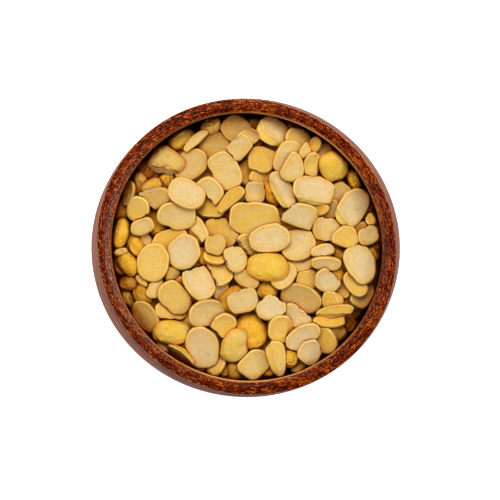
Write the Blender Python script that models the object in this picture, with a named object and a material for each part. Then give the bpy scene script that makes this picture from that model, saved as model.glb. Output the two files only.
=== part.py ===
"""A small round bowl of turned wood, filled with split and hulled broad beans.

The bowl is one turned piece. Its belly is a little oval, as turned wood goes when it dries, with the
long way along X, and its mouth is a little longer from the upper left to the lower right, seen from
above. The beans are one solid heap that fills the hollow up to a bumpy, slightly domed top, a little
below the rim.

The frame is in metres: the origin is the middle of the flat foot, and +Z is up.
"""

import math
import random

import bmesh
import bpy

MM = 0.001

# The bowl: heights above the table, and mean radii of its oval rings
BOWL_HEIGHT = 52.0 * MM
FOOT_RADIUS = 29.5 * MM
FOOT_EASE = 0.9 * MM
BELLY_RADIUS = 60.3 * MM
BELLY_HEIGHT = 33.0 * MM
RIM_OUTER_RADIUS = 58.25 * MM
MOUTH_RADIUS = 52.65 * MM
RIM_CROWN = 2.2 * MM
HOLLOW_RADIUS = 54.7 * MM
HOLLOW_HEIGHT = 34.0 * MM
FLOOR_THICKNESS = 6.5 * MM
FLOOR_RADIUS = 20.0 * MM

# How much longer than its mean radius a ring is along X, and shorter along Y
BELLY_OVAL = 0.020
RIM_OVAL = 0.006
FOOT_OVAL = 0.0

# How much longer than their mean radius the rim's outer edge and the mouth are towards the upper left
RIM_SKEW = 0.018
MOUTH_SKEW = 0.011

# The heap of beans
HEAP_GAP = 0.35 * MM
HEAP_EDGE_EASE = 1.3 * MM
HEAP_EDGE_HEIGHT = 42.6 * MM
HEAP_DOME = 1.8 * MM
BEAN_LUMPS = 96
LUMP_LENGTH = 15.0 * MM
LUMP_WIDTH = 11.0 * MM
LUMP_RISE = 2.6 * MM
SEED = 7

# Fineness of the faceted surfaces
SEGMENTS = 72
CURVE_STEPS = 6
RIM_STEPS = 8
HEAP_RINGS = 18

RIM_BASE_HEIGHT = BOWL_HEIGHT - RIM_CROWN


def clear_scene():
    """Removes whatever the startup scene holds."""
    for old in list(bpy.data.objects):
        bpy.data.objects.remove(old, do_unlink=True)


def bezier(start, pull_start, pull_end, end, steps):
    """Points of a cubic curve in the profile plane, as (radius, height), with the end and without the start."""
    points = []
    for step in range(1, steps + 1):
        t = step / steps
        weights = ((1 - t) ** 3, 3 * t * (1 - t) ** 2, 3 * t**2 * (1 - t), t**3)
        corners = (start, pull_start, pull_end, end)
        points.append(tuple(sum(w * c[axis] for w, c in zip(weights, corners)) for axis in (0, 1)))
    return points


def outer_wall():
    """The outside of the bowl, from the foot's edge up over the belly to the rim's outer edge."""
    foot_edge = (FOOT_RADIUS + FOOT_EASE, FOOT_EASE)
    belly = (BELLY_RADIUS, BELLY_HEIGHT)
    rim_edge = (RIM_OUTER_RADIUS, RIM_BASE_HEIGHT)
    lower = bezier(foot_edge, (44.0 * MM, 2.6 * MM), (BELLY_RADIUS, 16.0 * MM), belly, CURVE_STEPS)
    upper = bezier(belly, (BELLY_RADIUS, 40.0 * MM), (58.6 * MM, 46.5 * MM), rim_edge, CURVE_STEPS)
    return [(FOOT_RADIUS, 0.0), foot_edge] + lower + upper


def rim():
    """The rounded rim, over the top from its outer edge to the lip of the mouth."""
    middle = (RIM_OUTER_RADIUS + MOUTH_RADIUS) / 2
    half_width = (RIM_OUTER_RADIUS - MOUTH_RADIUS) / 2
    points = []
    for step in range(1, RIM_STEPS + 1):
        turn = math.pi * step / RIM_STEPS
        points.append((middle + half_width * math.cos(turn), RIM_BASE_HEIGHT + RIM_CROWN * math.sin(turn)))
    return points


def inner_wall():
    """The hollow, from the lip of the mouth down past its widest ring to the edge of the flat floor."""
    lip = (MOUTH_RADIUS, RIM_BASE_HEIGHT)
    widest = (HOLLOW_RADIUS, HOLLOW_HEIGHT)
    floor_edge = (FLOOR_RADIUS, FLOOR_THICKNESS)
    under_lip = bezier(lip, (52.9 * MM, 45.5 * MM), (HOLLOW_RADIUS, 41.0 * MM), widest, CURVE_STEPS)
    lower = bezier(widest, (HOLLOW_RADIUS, 18.0 * MM), (40.0 * MM, FLOOR_THICKNESS), floor_edge, CURVE_STEPS + 2)
    return under_lip + lower


def oval_at(height):
    """How oval a ring is at this height: least at the foot, most at the belly, and little at the rim."""
    if height < BELLY_HEIGHT:
        share = math.sin(math.pi / 2 * height / BELLY_HEIGHT)
        return FOOT_OVAL + (BELLY_OVAL - FOOT_OVAL) * share
    share = math.sin(math.pi / 2 * (height - BELLY_HEIGHT) / (BOWL_HEIGHT - BELLY_HEIGHT))
    return BELLY_OVAL + (RIM_OVAL - BELLY_OVAL) * share


def clamped(value):
    """The value, held between 0 and 1."""
    return min(1.0, max(0.0, value))


def skew_at(radius, height):
    """How skewed a ring is: not up to the belly, and more at the rim's outer edge than at the mouth."""
    above = clamped((height - BELLY_HEIGHT) / (RIM_BASE_HEIGHT - BELLY_HEIGHT))
    out = clamped((radius - MOUTH_RADIUS) / (RIM_OUTER_RADIUS - MOUTH_RADIUS))
    return (MOUTH_SKEW + (RIM_SKEW - MOUTH_SKEW) * out) * above**2


def add_ring(mesh, radius, height, lift=None):
    """One closed oval loop of edges. lift(x, y) gives each point its own height, where the ring isn't level."""
    oval, skew = oval_at(height), skew_at(radius, height)
    made = bmesh.ops.create_circle(mesh, cap_ends=False, segments=SEGMENTS, radius=radius)
    for vertex in made["verts"]:
        x, y = vertex.co.x, vertex.co.y
        vertex.co.x = (1 + oval) * x - skew * y
        vertex.co.y = (1 - oval) * y - skew * x
        vertex.co.z = height if lift is None else lift(vertex.co.x, vertex.co.y)
    return made["verts"]


def ring_edges(ring):
    """The edges of a loop that add_ring made."""
    members = set(ring)
    return list({e for v in ring for e in v.link_edges if all(end in members for end in e.verts)})


def lofted(mesh, rings):
    """Faces between each ring and the next."""
    loops = [ring_edges(ring) for ring in rings]
    for loop, next_loop in zip(loops, loops[1:]):
        bmesh.ops.bridge_loops(mesh, edges=loop + next_loop)


def cap(mesh, ring, middle_height):
    """Closes a loop with a fan of triangles round one point on the axis."""
    middle = mesh.verts.new((0.0, 0.0, middle_height))
    for edge in ring_edges(ring):
        mesh.faces.new((*edge.verts, middle))


def finished_object(name, mesh, material):
    """The closed mesh as a named object, its faces pointing out and its round surfaces shaded smooth."""
    bmesh.ops.recalc_face_normals(mesh, faces=mesh.faces)
    data = bpy.data.meshes.new(name)
    mesh.to_mesh(data)
    mesh.free()
    data.shade_smooth()
    data.set_sharp_from_angle(angle=math.radians(50))
    data.materials.append(material)
    made = bpy.data.objects.new(name, data)
    bpy.context.scene.collection.objects.link(made)
    return made


def plain_material(name, colour, roughness):
    """A Principled surface of one colour, which isn't metal."""
    material = bpy.data.materials.new(name)
    material.use_nodes = True
    surface = material.node_tree.nodes["Principled BSDF"]
    surface.inputs["Base Color"].default_value = (*colour, 1.0)
    surface.inputs["Roughness"].default_value = roughness
    surface.inputs["Metallic"].default_value = 0.0
    return material


def make_bowl():
    """The turned wooden bowl, with a flat foot and an open hollow."""
    mesh = bmesh.new()
    profile = outer_wall() + rim() + inner_wall()
    rings = [add_ring(mesh, radius, height) for radius, height in profile]
    lofted(mesh, rings)
    cap(mesh, rings[0], 0.0)
    cap(mesh, rings[-1], FLOOR_THICKNESS)
    return finished_object("bowl", mesh, plain_material("lacquered_wood", (0.23, 0.05, 0.02), 0.32))


def inset_profile(points, gap):
    """A profile that runs from the floor up the wall, moved by gap to its hollow side and without its two ends."""
    moved = []
    for before, here, after in zip(points[:-2], points[1:-1], points[2:]):
        along = (after[0] - before[0], after[1] - before[1])
        length = math.hypot(*along)
        moved.append((here[0] - gap * along[1] / length, here[1] + gap * along[0] / length))
    return moved


class BeanLumps:
    """The bumpy top of the heap: overlapping low domes of a bean's size, laid out in a loose spiral."""

    def __init__(self, radius):
        chance = random.Random(SEED)
        golden_turn = math.pi * (3 - math.sqrt(5))
        self.radius = radius
        self.lumps = []
        for number in range(BEAN_LUMPS):
            out = radius * math.sqrt((number + 0.5) / BEAN_LUMPS)
            turn = golden_turn * number + chance.uniform(-0.1, 0.1)
            size = chance.uniform(0.8, 1.1)
            self.lumps.append(
                (out * math.cos(turn), out * math.sin(turn), chance.uniform(0, math.pi), size, chance.uniform(0.7, 1.0))
            )

    def height(self, x, y):
        """The heap's top at this place: the dome, and the highest bean there."""
        share = min(1.0, math.hypot(x, y) / self.radius)
        highest = 0.0
        for lump_x, lump_y, turn, size, rise in self.lumps:
            along = (x - lump_x) * math.cos(turn) + (y - lump_y) * math.sin(turn)
            across = (y - lump_y) * math.cos(turn) - (x - lump_x) * math.sin(turn)
            reach = (2 * along / (LUMP_LENGTH * size)) ** 2 + (2 * across / (LUMP_WIDTH * size)) ** 2
            if reach < 1.0:
                highest = max(highest, rise * LUMP_RISE * math.sqrt(1.0 - reach))
        return HEAP_EDGE_HEIGHT + HEAP_DOME * (1 - share**2) + highest


def make_heap():
    """The beans as one solid: up the hollow's wall, and over the bumpy top."""
    mesh = bmesh.new()
    wall = [(FLOOR_RADIUS * 0.5, FLOOR_THICKNESS)] + inner_wall()[::-1]
    against_wall = [point for point in inset_profile(wall, HEAP_GAP) if point[1] < HEAP_EDGE_HEIGHT - HEAP_EDGE_EASE]
    rings = [add_ring(mesh, radius, height) for radius, height in against_wall]
    edge_radius = against_wall[-1][0] - HEAP_EDGE_EASE
    lumps = BeanLumps(edge_radius)
    for number in range(HEAP_RINGS):
        radius = edge_radius * (1 - number / HEAP_RINGS)
        rings.append(add_ring(mesh, radius, HEAP_EDGE_HEIGHT, lumps.height))
    lofted(mesh, rings)
    cap(mesh, rings[0], against_wall[0][1])
    cap(mesh, rings[-1], lumps.height(0.0, 0.0))
    return finished_object("bean_heap", mesh, plain_material("dried_bean", (0.80, 0.55, 0.22), 0.6))


clear_scene()
make_bowl()
make_heap()
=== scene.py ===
"""A small turned hardwood bowl, filled with hulled and split broad beans.

The bowl is one smooth turned piece. The beans are separate pieces of true size: a bed of loose halves
that fills the bowl, and over it the beans of the top, each laid where it is seen from above. Every bean
comes down on what already lies there until it rests, so the heap carries itself from any side.

Shapes are worked out in millimetres and made in metres. +Z is up, and +Y is the top of the photograph.
"""

import logging
import math
from collections.abc import Iterable
from dataclasses import dataclass, field
from enum import Enum

import bpy
import numpy as np
from mathutils import Matrix, Vector


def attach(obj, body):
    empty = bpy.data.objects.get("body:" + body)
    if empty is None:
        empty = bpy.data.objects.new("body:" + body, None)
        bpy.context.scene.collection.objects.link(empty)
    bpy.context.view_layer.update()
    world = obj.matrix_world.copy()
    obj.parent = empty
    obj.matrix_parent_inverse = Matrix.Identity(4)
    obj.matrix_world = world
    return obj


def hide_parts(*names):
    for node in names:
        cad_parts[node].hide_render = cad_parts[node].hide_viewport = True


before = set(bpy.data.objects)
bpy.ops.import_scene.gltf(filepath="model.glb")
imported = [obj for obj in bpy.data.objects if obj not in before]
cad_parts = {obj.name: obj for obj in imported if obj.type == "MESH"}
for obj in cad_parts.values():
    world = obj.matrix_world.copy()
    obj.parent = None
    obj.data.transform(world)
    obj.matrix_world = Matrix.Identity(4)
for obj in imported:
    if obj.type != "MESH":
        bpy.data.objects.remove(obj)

MM = 0.001
LOG = logging.getLogger("bean_bowl")

# The marks that each point of a bean or of the bowl carries into its material, several of them painted
# highlight, sheen, reflection and shade
BEAN_MARKS = ("ripe", "skin", "rim", "broken", "tan", "warm")
WOOD_MARKS = ("rubbed", "grimed", "matt", "dusty")

# The marks that a bean's shape gives it, in the order in which its rings keep them
SHAPE_MARKS = ("skin", "rim", "broken", "warm", "ripe")

# The colour sockets and the colour output of a Mix node, which has one set of them for each kind of value
MIX_A = 6
MIX_B = 7
MIX_COLOUR = 2

# A colour ramp: places and hex colours
Ramp = tuple[tuple[float, str], ...]

# A wavy line across a bean: the direction in the photograph that it faces, in degrees, its distance from
# the bean's middle, and its waves, each as its size, how fast it goes up and down, and where it starts
Line = tuple[float, float, tuple[tuple[float, float, float], ...]]


def linear(hex_colour: str) -> tuple[float, float, float, float]:
    """Turns an sRGB hex value into a linear colour.

    Args:
        hex_colour: Six hex digits.

    Returns:
        Red, green, blue and an alpha of 1.
    """
    channels = [int(hex_colour[start : start + 2], 16) / 255 for start in (0, 2, 4)]
    bent = [c / 12.92 if c <= 0.04045 else ((c + 0.055) / 1.055) ** 2.4 for c in channels]
    return (*bent, 1.0)


def add_node(
    tree: bpy.types.NodeTree,
    kind: str,
    settings: dict[str, object] | None = None,
    inputs: dict[str | int, object] | None = None,
) -> bpy.types.Node:
    """Adds one shader node with its settings and its links.

    Args:
        tree: The node tree that takes it.
        kind: The node's type, without "ShaderNode" in front of it.
        settings: The node's own properties. "stops" is the ramp of a ColorRamp.
        inputs: What each input takes, by its name or place: another node's output, or a fixed value.

    Returns:
        The new node.
    """
    node = tree.nodes.new("ShaderNode" + kind)
    for name, value in (settings or {}).items():
        if name != "stops":
            setattr(node, name, value)
            continue
        elements = node.color_ramp.elements
        while len(elements) < len(value):
            elements.new(1.0)
        for element, (place, colour) in zip(elements, value):
            element.position = place
            element.color = linear(colour)
    for key, value in (inputs or {}).items():
        if isinstance(value, bpy.types.NodeSocket):
            tree.links.new(value, node.inputs[key])
        else:
            node.inputs[key].default_value = value
    return node


def new_material(name: str) -> tuple[bpy.types.Material, bpy.types.NodeTree]:
    """Makes a material with an empty node tree.

    Args:
        name: The material's name.

    Returns:
        The material and its tree.
    """
    material = bpy.data.materials.new(name)
    material.use_nodes = True
    material.node_tree.nodes.clear()
    return material, material.node_tree


@dataclass(frozen=True)
class LacqueredHardwood:
    """Dark red tropical hardwood, turned across the grain and lacquered.

    The eye sees short brown and orange fibres and darker bands under a thin satin lacquer, which follow the
    turning marks round the bowl. A light colour is painted along parts of the lip as a highlight, pale
    specks are painted into the open pores of the rim's inner half as a sheen, and the outer wall, whose
    lacquer is rougher, has a grey painted in as a reflection. Darker lines and bands at the rim's edges and
    below the rim are painted shade.
    Real fibres are about 0.1 mm wide, too fine to show, so they are drawn as wide as shows.
    """

    waver_mm: float = 5.0
    waver_depth_mm: float = 1.3
    band_mm: float = 1.7
    band_share: float = 0.3
    fibre_mm: float = 0.42
    fleck_mm: float = 0.33
    fleck_share: float = 1.15
    fleck_shortness: float = 2.8
    pore_mm: float = 0.5
    fibre_relief_mm: float = 0.12
    lacquer_roughness: float = 0.34
    matt_roughness: float = 0.62
    wood: Ramp = ((0.30, "200400"), (0.42, "4A0C00"), (0.52, "761C00"), (0.62, "A23604"), (0.78, "DC7E26"))
    pore_colour: str = "240802"
    # A sheen painted in the pores of the rim's inner half
    sheen_colour: str = "B48C74"
    # A reflection painted into the colour of the rougher outer wall
    reflection_colour: str = "94614C"
    # A highlight painted along the lip
    lip_highlight_colour: str = "F8B064"
    # Painted shade at the rim and under it
    painted_shade_colour: str = "220A04"

    def material(self) -> bpy.types.Material:
        """Builds the wood, whose attributes say where it is worn.

        Returns:
            The material.
        """
        made, tree = new_material("lacquered_hardwood")
        grain = add_node(tree, "Attribute", {"attribute_name": "grain"}).outputs["Vector"]
        waver = add_node(
            tree, "TexNoise", inputs={"Vector": grain, "Scale": 1 / self.waver_mm, "Detail": 1.0}
        ).outputs["Color"]
        along = add_node(
            tree,
            "VectorMath",
            {"operation": "MULTIPLY_ADD"},
            {0: waver, 1: (self.waver_depth_mm,) * 3, 2: grain},
        ).outputs[0]
        short = add_node(
            tree,
            "VectorMath",
            {"operation": "MULTIPLY"},
            {0: along, 1: (self.fleck_shortness, self.fleck_shortness, 1.0)},
        ).outputs[0]
        bands, fibres, flecks, pores = (
            add_node(
                tree,
                "TexNoise",
                inputs={
                    "Vector": along_grain,
                    "Scale": 1 / size,
                    "Detail": detail,
                    "Roughness": 0.6,
                    "Distortion": 0.25,
                },
            ).outputs[0]
            for along_grain, size, detail in (
                (along, self.band_mm, 2.0),
                (along, self.fibre_mm, 3.0),
                (short, self.fleck_mm, 1.0),
                (short, self.pore_mm, 0.0),
            )
        )
        tone = fibres
        for pattern, share in ((bands, self.band_share), (flecks, self.fleck_share)):
            part = add_node(
                tree, "Math", {"operation": "MULTIPLY_ADD"}, {0: pattern, 1: share, 2: -share / 2}
            ).outputs[0]
            tone = add_node(tree, "Math", {"operation": "ADD"}, {0: tone, 1: part}).outputs[0]
        in_pore, open_pore, dull = (
            add_node(
                tree,
                "MapRange",
                {"interpolation_type": kind},
                {"Value": pattern, "From Min": low, "From Max": high, "To Min": at_low, "To Max": at_high},
            ).outputs[0]
            for kind, pattern, low, high, at_low, at_high in (
                ("SMOOTHSTEP", pores, 0.40, 0.30, 0.0, 0.75),
                ("SMOOTHSTEP", flecks, 0.46, 0.62, 0.25, 1.0),
                ("LINEAR", bands, 0.36, 0.62, 0.5, 0.86),
            )
        )
        # The marks of painted highlight, painted shade, the rougher wall with its painted reflection, and
        # painted sheen
        rubbed, grimed, matt, dusty = (
            add_node(tree, "Attribute", {"attribute_name": name}).outputs["Fac"] for name in WOOD_MARKS
        )
        # Painted sheen in the open pores, and a painted reflection on the rougher wall
        sheen, painted_reflection = (
            add_node(tree, "Math", {"operation": "MULTIPLY"}, {0: mark, 1: pattern}).outputs[0]
            for mark, pattern in ((dusty, open_pore), (matt, dull))
        )
        colour = add_node(tree, "ValToRGB", {"stops": self.wood}, {0: tone}).outputs[0]
        # Over the grain go the pores, then painted sheen, painted reflection, a painted highlight and painted
        # shade
        for share, coat in (
            (in_pore, self.pore_colour),
            (sheen, self.sheen_colour),
            (painted_reflection, self.reflection_colour),
            (rubbed, self.lip_highlight_colour),
            (grimed, self.painted_shade_colour),
        ):
            colour = add_node(
                tree, "Mix", {"data_type": "RGBA"}, {0: share, MIX_A: colour, MIX_B: linear(coat)}
            ).outputs[MIX_COLOUR]
        relief = add_node(
            tree, "Bump", inputs={"Height": fibres, "Strength": 0.4, "Distance": self.fibre_relief_mm * MM}
        ).outputs[0]
        rough = add_node(
            tree,
            "MapRange",
            inputs={"Value": matt, "To Min": self.lacquer_roughness, "To Max": self.matt_roughness},
        ).outputs[0]
        surface = add_node(
            tree,
            "BsdfPrincipled",
            inputs={
                "Base Color": colour,
                "Roughness": rough,
                "IOR": 1.5,
                "Specular IOR Level": 0.04,
                "Normal": relief,
            },
        )
        add_node(tree, "OutputMaterial", inputs={"Surface": surface.outputs[0]})
        return made


@dataclass(frozen=True)
class HulledBroadBean:
    """Dried broad beans, hulled and split in a mill, with no polish.

    The split face is pale, dull and a little mealy, and the outside is yellow and a little waxy. Light goes
    a short way into both and comes out warmer. The gaps between beans are painted shade: near other
    surfaces the ambient occlusion turns the colour orange and then dark. A bright line along the edge of
    each split face is a painted highlight, and the sides and the outline of the outside are painted a
    deeper orange, partly as the bean's own colour and partly as shade.
    The meal on the faces is finer than shows, so its grain is drawn as coarse as shows.
    """

    mottle_mm: float = 3.6
    grain_mm: float = 0.7
    grain_relief_mm: float = 0.08
    scar_mm: float = 1.3
    glow_mm: float = 0.7
    # How far the ambient occlusion reaches for the painted shade in narrow gaps and in deep ones
    crevice_shade_mm: float = 1.0
    hollow_shade_mm: float = 6.0
    mottle_share: float = 0.9
    face_roughness: float = 0.70
    skin_roughness: float = 0.42
    flesh: Ramp = ((0.0, "EACD96"), (0.3, "ECC676"), (0.6, "F0C254"), (1.0, "EEAE32"))
    outside: Ramp = ((0.0, "EACC88"), (0.25, "F0CA68"), (0.5, "F6CA48"), (0.75, "F4BE34"), (1.0, "EA9E1C"))
    # What the ambient occlusion multiplies the colour by, from shut to open: painted shade in narrow and deep
    # gaps
    crevice_shade: Ramp = ((0.0, "460E00"), (0.38, "AC4604"), (0.62, "EC941A"), (0.84, "FFFFFF"))
    hollow: Ramp = ((0.02, "1A0400"), (0.18, "903806"), (0.36, "EAA438"), (0.56, "FFFFFF"))
    crumb_colour: str = "F2D494"
    # The face's own golden band near its edge, and an orange that is part own colour, part painted shade
    golden_colour: str = "EBB244"
    orange_tint_and_shade_colour: str = "E0921E"
    # A bright line painted along the split face's edge as a highlight
    rim_highlight_colour: str = "FFE68C"
    # The brown of a bean's tone, partly painted shade
    tan_and_shade_colour: str = "A87844"
    speck_colour: str = "E4C9A0"
    meal_colour: str = "FFF0C4"
    scar_colour: str = "A87434"

    def material(self) -> bpy.types.Material:
        """Builds the bean flesh, whose attributes say what each point of a bean is.

        Returns:
            The material.
        """
        made, tree = new_material("hulled_broad_bean")
        place = add_node(tree, "TexCoord").outputs["Object"]
        ripe, skin, rim, broken, tan, warm = (
            add_node(tree, "Attribute", {"attribute_name": name}).outputs["Fac"] for name in BEAN_MARKS
        )
        mottle, grain, blemish = (
            add_node(
                tree,
                "TexNoise",
                inputs={"Vector": place, "Scale": 1 / (size * MM), "Detail": detail, "Roughness": rough},
            ).outputs[0]
            for size, detail, rough in (
                (self.mottle_mm, 3.0, 0.6),
                (self.grain_mm, 2.0, 0.7),
                (self.scar_mm, 1.0, 0.5),
            )
        )
        uneven = add_node(
            tree,
            "Math",
            {"operation": "MULTIPLY_ADD"},
            {0: mottle, 1: self.mottle_share, 2: -self.mottle_share / 2},
        ).outputs[0]
        tone = add_node(tree, "Math", {"operation": "ADD"}, {0: ripe, 1: uneven}).outputs[0]
        flesh, outside = (
            add_node(tree, "ValToRGB", {"stops": stops}, {0: tone}).outputs[0]
            for stops in (self.flesh, self.outside)
        )
        # Golden and orange towards the outline and down the sides, part own colour and part painted shade
        toward_edge, toward_outline, edge = (
            add_node(tree, "Math", {"operation": "MULTIPLY"}, {0: mark, 1: share}).outputs[0]
            for mark, share in ((warm, 0.8), (warm, 0.7), (rim, 0.92))
        )
        speck, meal, scar = (
            add_node(
                tree,
                "MapRange",
                {"interpolation_type": "SMOOTHSTEP"},
                {"Value": pattern, "From Min": low, "From Max": high, "To Min": at_low, "To Max": at_high},
            ).outputs[0]
            for pattern, low, high, at_low, at_high in (
                (grain, 0.30, 0.55, 0.32, 0.0),
                (grain, 0.58, 0.72, 0.0, 0.26),
                (blemish, 0.72, 0.78, 0.0, 0.6),
            )
        )
        # Painted shade: how open each point is to its near and its far surroundings
        near, far = (
            add_node(tree, "AmbientOcclusion", {"samples": 4}, {"Distance": reach * MM}).outputs["AO"]
            for reach in (self.crevice_shade_mm, self.hollow_shade_mm)
        )
        crevice_shade, hollow = (
            add_node(tree, "ValToRGB", {"stops": stops}, {0: openness}).outputs[0]
            for openness, stops in ((near, self.crevice_shade), (far, self.hollow))
        )
        # The outside turns orange towards its outline, partly its own colour and partly painted shade
        orange = add_node(
            tree,
            "Mix",
            {"data_type": "RGBA"},
            {0: toward_outline, MIX_A: outside, MIX_B: linear(self.orange_tint_and_shade_colour)},
        ).outputs[MIX_COLOUR]
        colour = flesh
        for share, over, blend in (
            (broken, linear(self.crumb_colour), "MIX"),
            (toward_edge, linear(self.golden_colour), "MIX"),
            (skin, orange, "MIX"),
            # The bright line along the face's edge, a painted highlight
            (edge, linear(self.rim_highlight_colour), "MIX"),
            # Browner by the bean's tone and by shade painted on its shaded side and on beans that lie low
            (tan, linear(self.tan_and_shade_colour), "MULTIPLY"),
            (speck, linear(self.speck_colour), "MULTIPLY"),
            (meal, linear(self.meal_colour), "MIX"),
            (scar, linear(self.scar_colour), "MIX"),
            # Painted shade that darkens the colour and turns it orange in the gaps
            (1.0, crevice_shade, "MULTIPLY"),
            (1.0, hollow, "MULTIPLY"),
        ):
            settings = {"data_type": "RGBA", "blend_type": blend}
            colour = add_node(
                tree, "Mix", settings, {0: share, MIX_A: colour, MIX_B: over}
            ).outputs[MIX_COLOUR]
        rough = add_node(
            tree,
            "MapRange",
            inputs={"Value": skin, "To Min": self.face_roughness, "To Max": self.skin_roughness},
        ).outputs[0]
        relief = add_node(
            tree, "Bump", inputs={"Height": grain, "Strength": 0.2, "Distance": self.grain_relief_mm * MM}
        ).outputs[0]
        surface = add_node(
            tree,
            "BsdfPrincipled",
            inputs={
                "Base Color": colour,
                "Roughness": rough,
                "IOR": 1.45,
                "Specular IOR Level": 0.12,
                "Subsurface Weight": 0.25,
                "Subsurface Radius": (1.0, 0.55, 0.2),
                "Subsurface Scale": self.glow_mm * MM,
                "Normal": relief,
            },
        )
        add_node(tree, "OutputMaterial", inputs={"Surface": surface.outputs[0]})
        return made


@dataclass(frozen=True)
class WhiteTable:
    """A white acrylic table, lit a little from below, which reads as bare white round the object."""

    glow: float = 0.8
    roughness: float = 0.6
    colour: str = "F4F4F2"

    def material(self) -> bpy.types.Material:
        """Builds the table's surface.

        Returns:
            The material.
        """
        made, tree = new_material("white_acrylic")
        surface = add_node(
            tree,
            "BsdfPrincipled",
            inputs={
                "Base Color": linear(self.colour),
                "Roughness": self.roughness,
                "Emission Color": linear("FFFFFF"),
                "Emission Strength": self.glow,
            },
        )
        add_node(tree, "OutputMaterial", inputs={"Surface": surface.outputs[0]})
        return made


@dataclass
class Shell:
    """Points and faces of a mesh while it is worked out, in millimetres, and its marks, a value per point."""

    points: np.ndarray
    faces: list[tuple[int, ...]]
    marks: dict[str, np.ndarray] = field(default_factory=dict)


def joined(shells: Iterable[Shell]) -> Shell:
    """Puts several shells into one.

    Args:
        shells: The shells, all with the same marks.

    Returns:
        One shell that holds them all, unconnected.
    """
    shells = list(shells)
    faces = []
    start = 0
    for shell in shells:
        faces.extend(tuple(corner + start for corner in face) for face in shell.faces)
        start += len(shell.points)
    marks = {name: np.concatenate([s.marks[name] for s in shells]) for name in shells[0].marks}
    return Shell(np.concatenate([s.points for s in shells]), faces, marks)


def make_piece(name: str, shell: Shell, material: bpy.types.Material, sharp_deg: float) -> bpy.types.Object:
    """Makes a shell into a smooth-shaded object.

    Args:
        name: The piece's name.
        shell: Its points, faces and marks.
        material: Its finish.
        sharp_deg: The angle between two faces over which their edge stays sharp.

    Returns:
        The new object.
    """
    mesh = bpy.data.meshes.new(name)
    mesh.from_pydata((shell.points * MM).tolist(), [], shell.faces)
    for mark, values in shell.marks.items():
        kind, part = ("FLOAT", "value") if values.ndim == 1 else ("FLOAT_VECTOR", "vector")
        mesh.attributes.new(mark, kind, "POINT").data.foreach_set(part, values.ravel().astype(np.float32))
    mesh.shade_smooth()
    mesh.set_sharp_from_angle(angle=math.radians(sharp_deg))
    mesh.materials.append(material)
    made = bpy.data.objects.new(name, mesh)
    bpy.context.scene.collection.objects.link(made)
    return made


def ring_faces(rings: int, around: int) -> list[tuple[int, ...]]:
    """The faces between closed rings of points that are stored one after the other.

    Args:
        rings: How many rings there are.
        around: How many points each ring has.

    Returns:
        One face with four corners for each gap.
    """
    faces = []
    for low in range(0, (rings - 1) * around, around):
        for here in range(around):
            after = (here + 1) % around
            faces.append((low + here, low + after, low + around + after, low + around + here))
    return faces


def cap_faces(start: int, around: int, middle: int, flip: bool) -> list[tuple[int, ...]]:
    """A fan of triangles that closes a ring.

    Args:
        start: The ring's first point.
        around: How many points the ring has.
        middle: The point in its middle.
        flip: Whether the fan faces the other way.

    Returns:
        The triangles.
    """
    fan = [(start + here, start + (here + 1) % around, middle) for here in range(around)]
    return [face[::-1] for face in fan] if flip else fan


def curve(
    start: tuple[float, float],
    pull_start: tuple[float, float],
    pull_end: tuple[float, float],
    end: tuple[float, float],
    steps: int,
) -> list[tuple[float, float]]:
    """A cubic curve in the profile plane.

    Args:
        start: Its start, as radius and height.
        pull_start: Where it heads for at its start.
        pull_end: Where it comes from at its end.
        end: Its end.
        steps: How many points it gets.

    Returns:
        Its points, with the end and without the start.
    """
    share = np.linspace(0, 1, steps + 1)[1:, None]
    corners = [np.array(corner) for corner in (start, pull_start, pull_end, end)]
    weights = ((1 - share) ** 3, 3 * share * (1 - share) ** 2, 3 * share**2 * (1 - share), share**3)
    return [tuple(point) for point in sum(w * c for w, c in zip(weights, corners))]


def hump(value: np.ndarray, middle: float, width: float) -> np.ndarray:
    """A smooth hump of height 1 round a middle value."""
    return np.exp(-(((value - middle) / width) ** 2))


def wrapped(turn: np.ndarray) -> np.ndarray:
    """Brings turns into the half circle on each side of 0, in radians."""
    return (turn + np.pi) % (2 * np.pi) - np.pi


def pointing(turn: float) -> np.ndarray:
    """The vector of length 1 in the plane that points this way, in radians."""
    return np.array([np.cos(turn), np.sin(turn)])


def smoothed(values: np.ndarray, times: int) -> np.ndarray:
    """Evens out values along a closed line.

    Args:
        values: The value or the row of values at each point of the line.
        times: How often each point is drawn towards its two neighbours.

    Returns:
        The evened values.
    """
    for _ in range(times):
        values = (np.roll(values, 1, axis=0) + 2 * values + np.roll(values, -1, axis=0)) / 4
    return values


@dataclass(frozen=True)
class PaintedLight:
    """How strong one painted highlight, sheen or shade is round the bowl.

    It is this strong everywhere, and at each of the places it is more: how much more, towards which
    direction in degrees, and how far it spreads in degrees.
    """

    everywhere: float
    places: tuple[tuple[float, float, float], ...]

    def at(self, turn: np.ndarray) -> np.ndarray:
        """How strong it is in each direction.

        Args:
            turn: The directions, in radians.

        Returns:
            The strength in each.
        """
        total = np.full(turn.shape, self.everywhere)
        for more, degrees, spread in self.places:
            off = np.degrees(wrapped(turn - math.radians(degrees)))
            total += more * hump(off, 0.0, spread)
        return total


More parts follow.
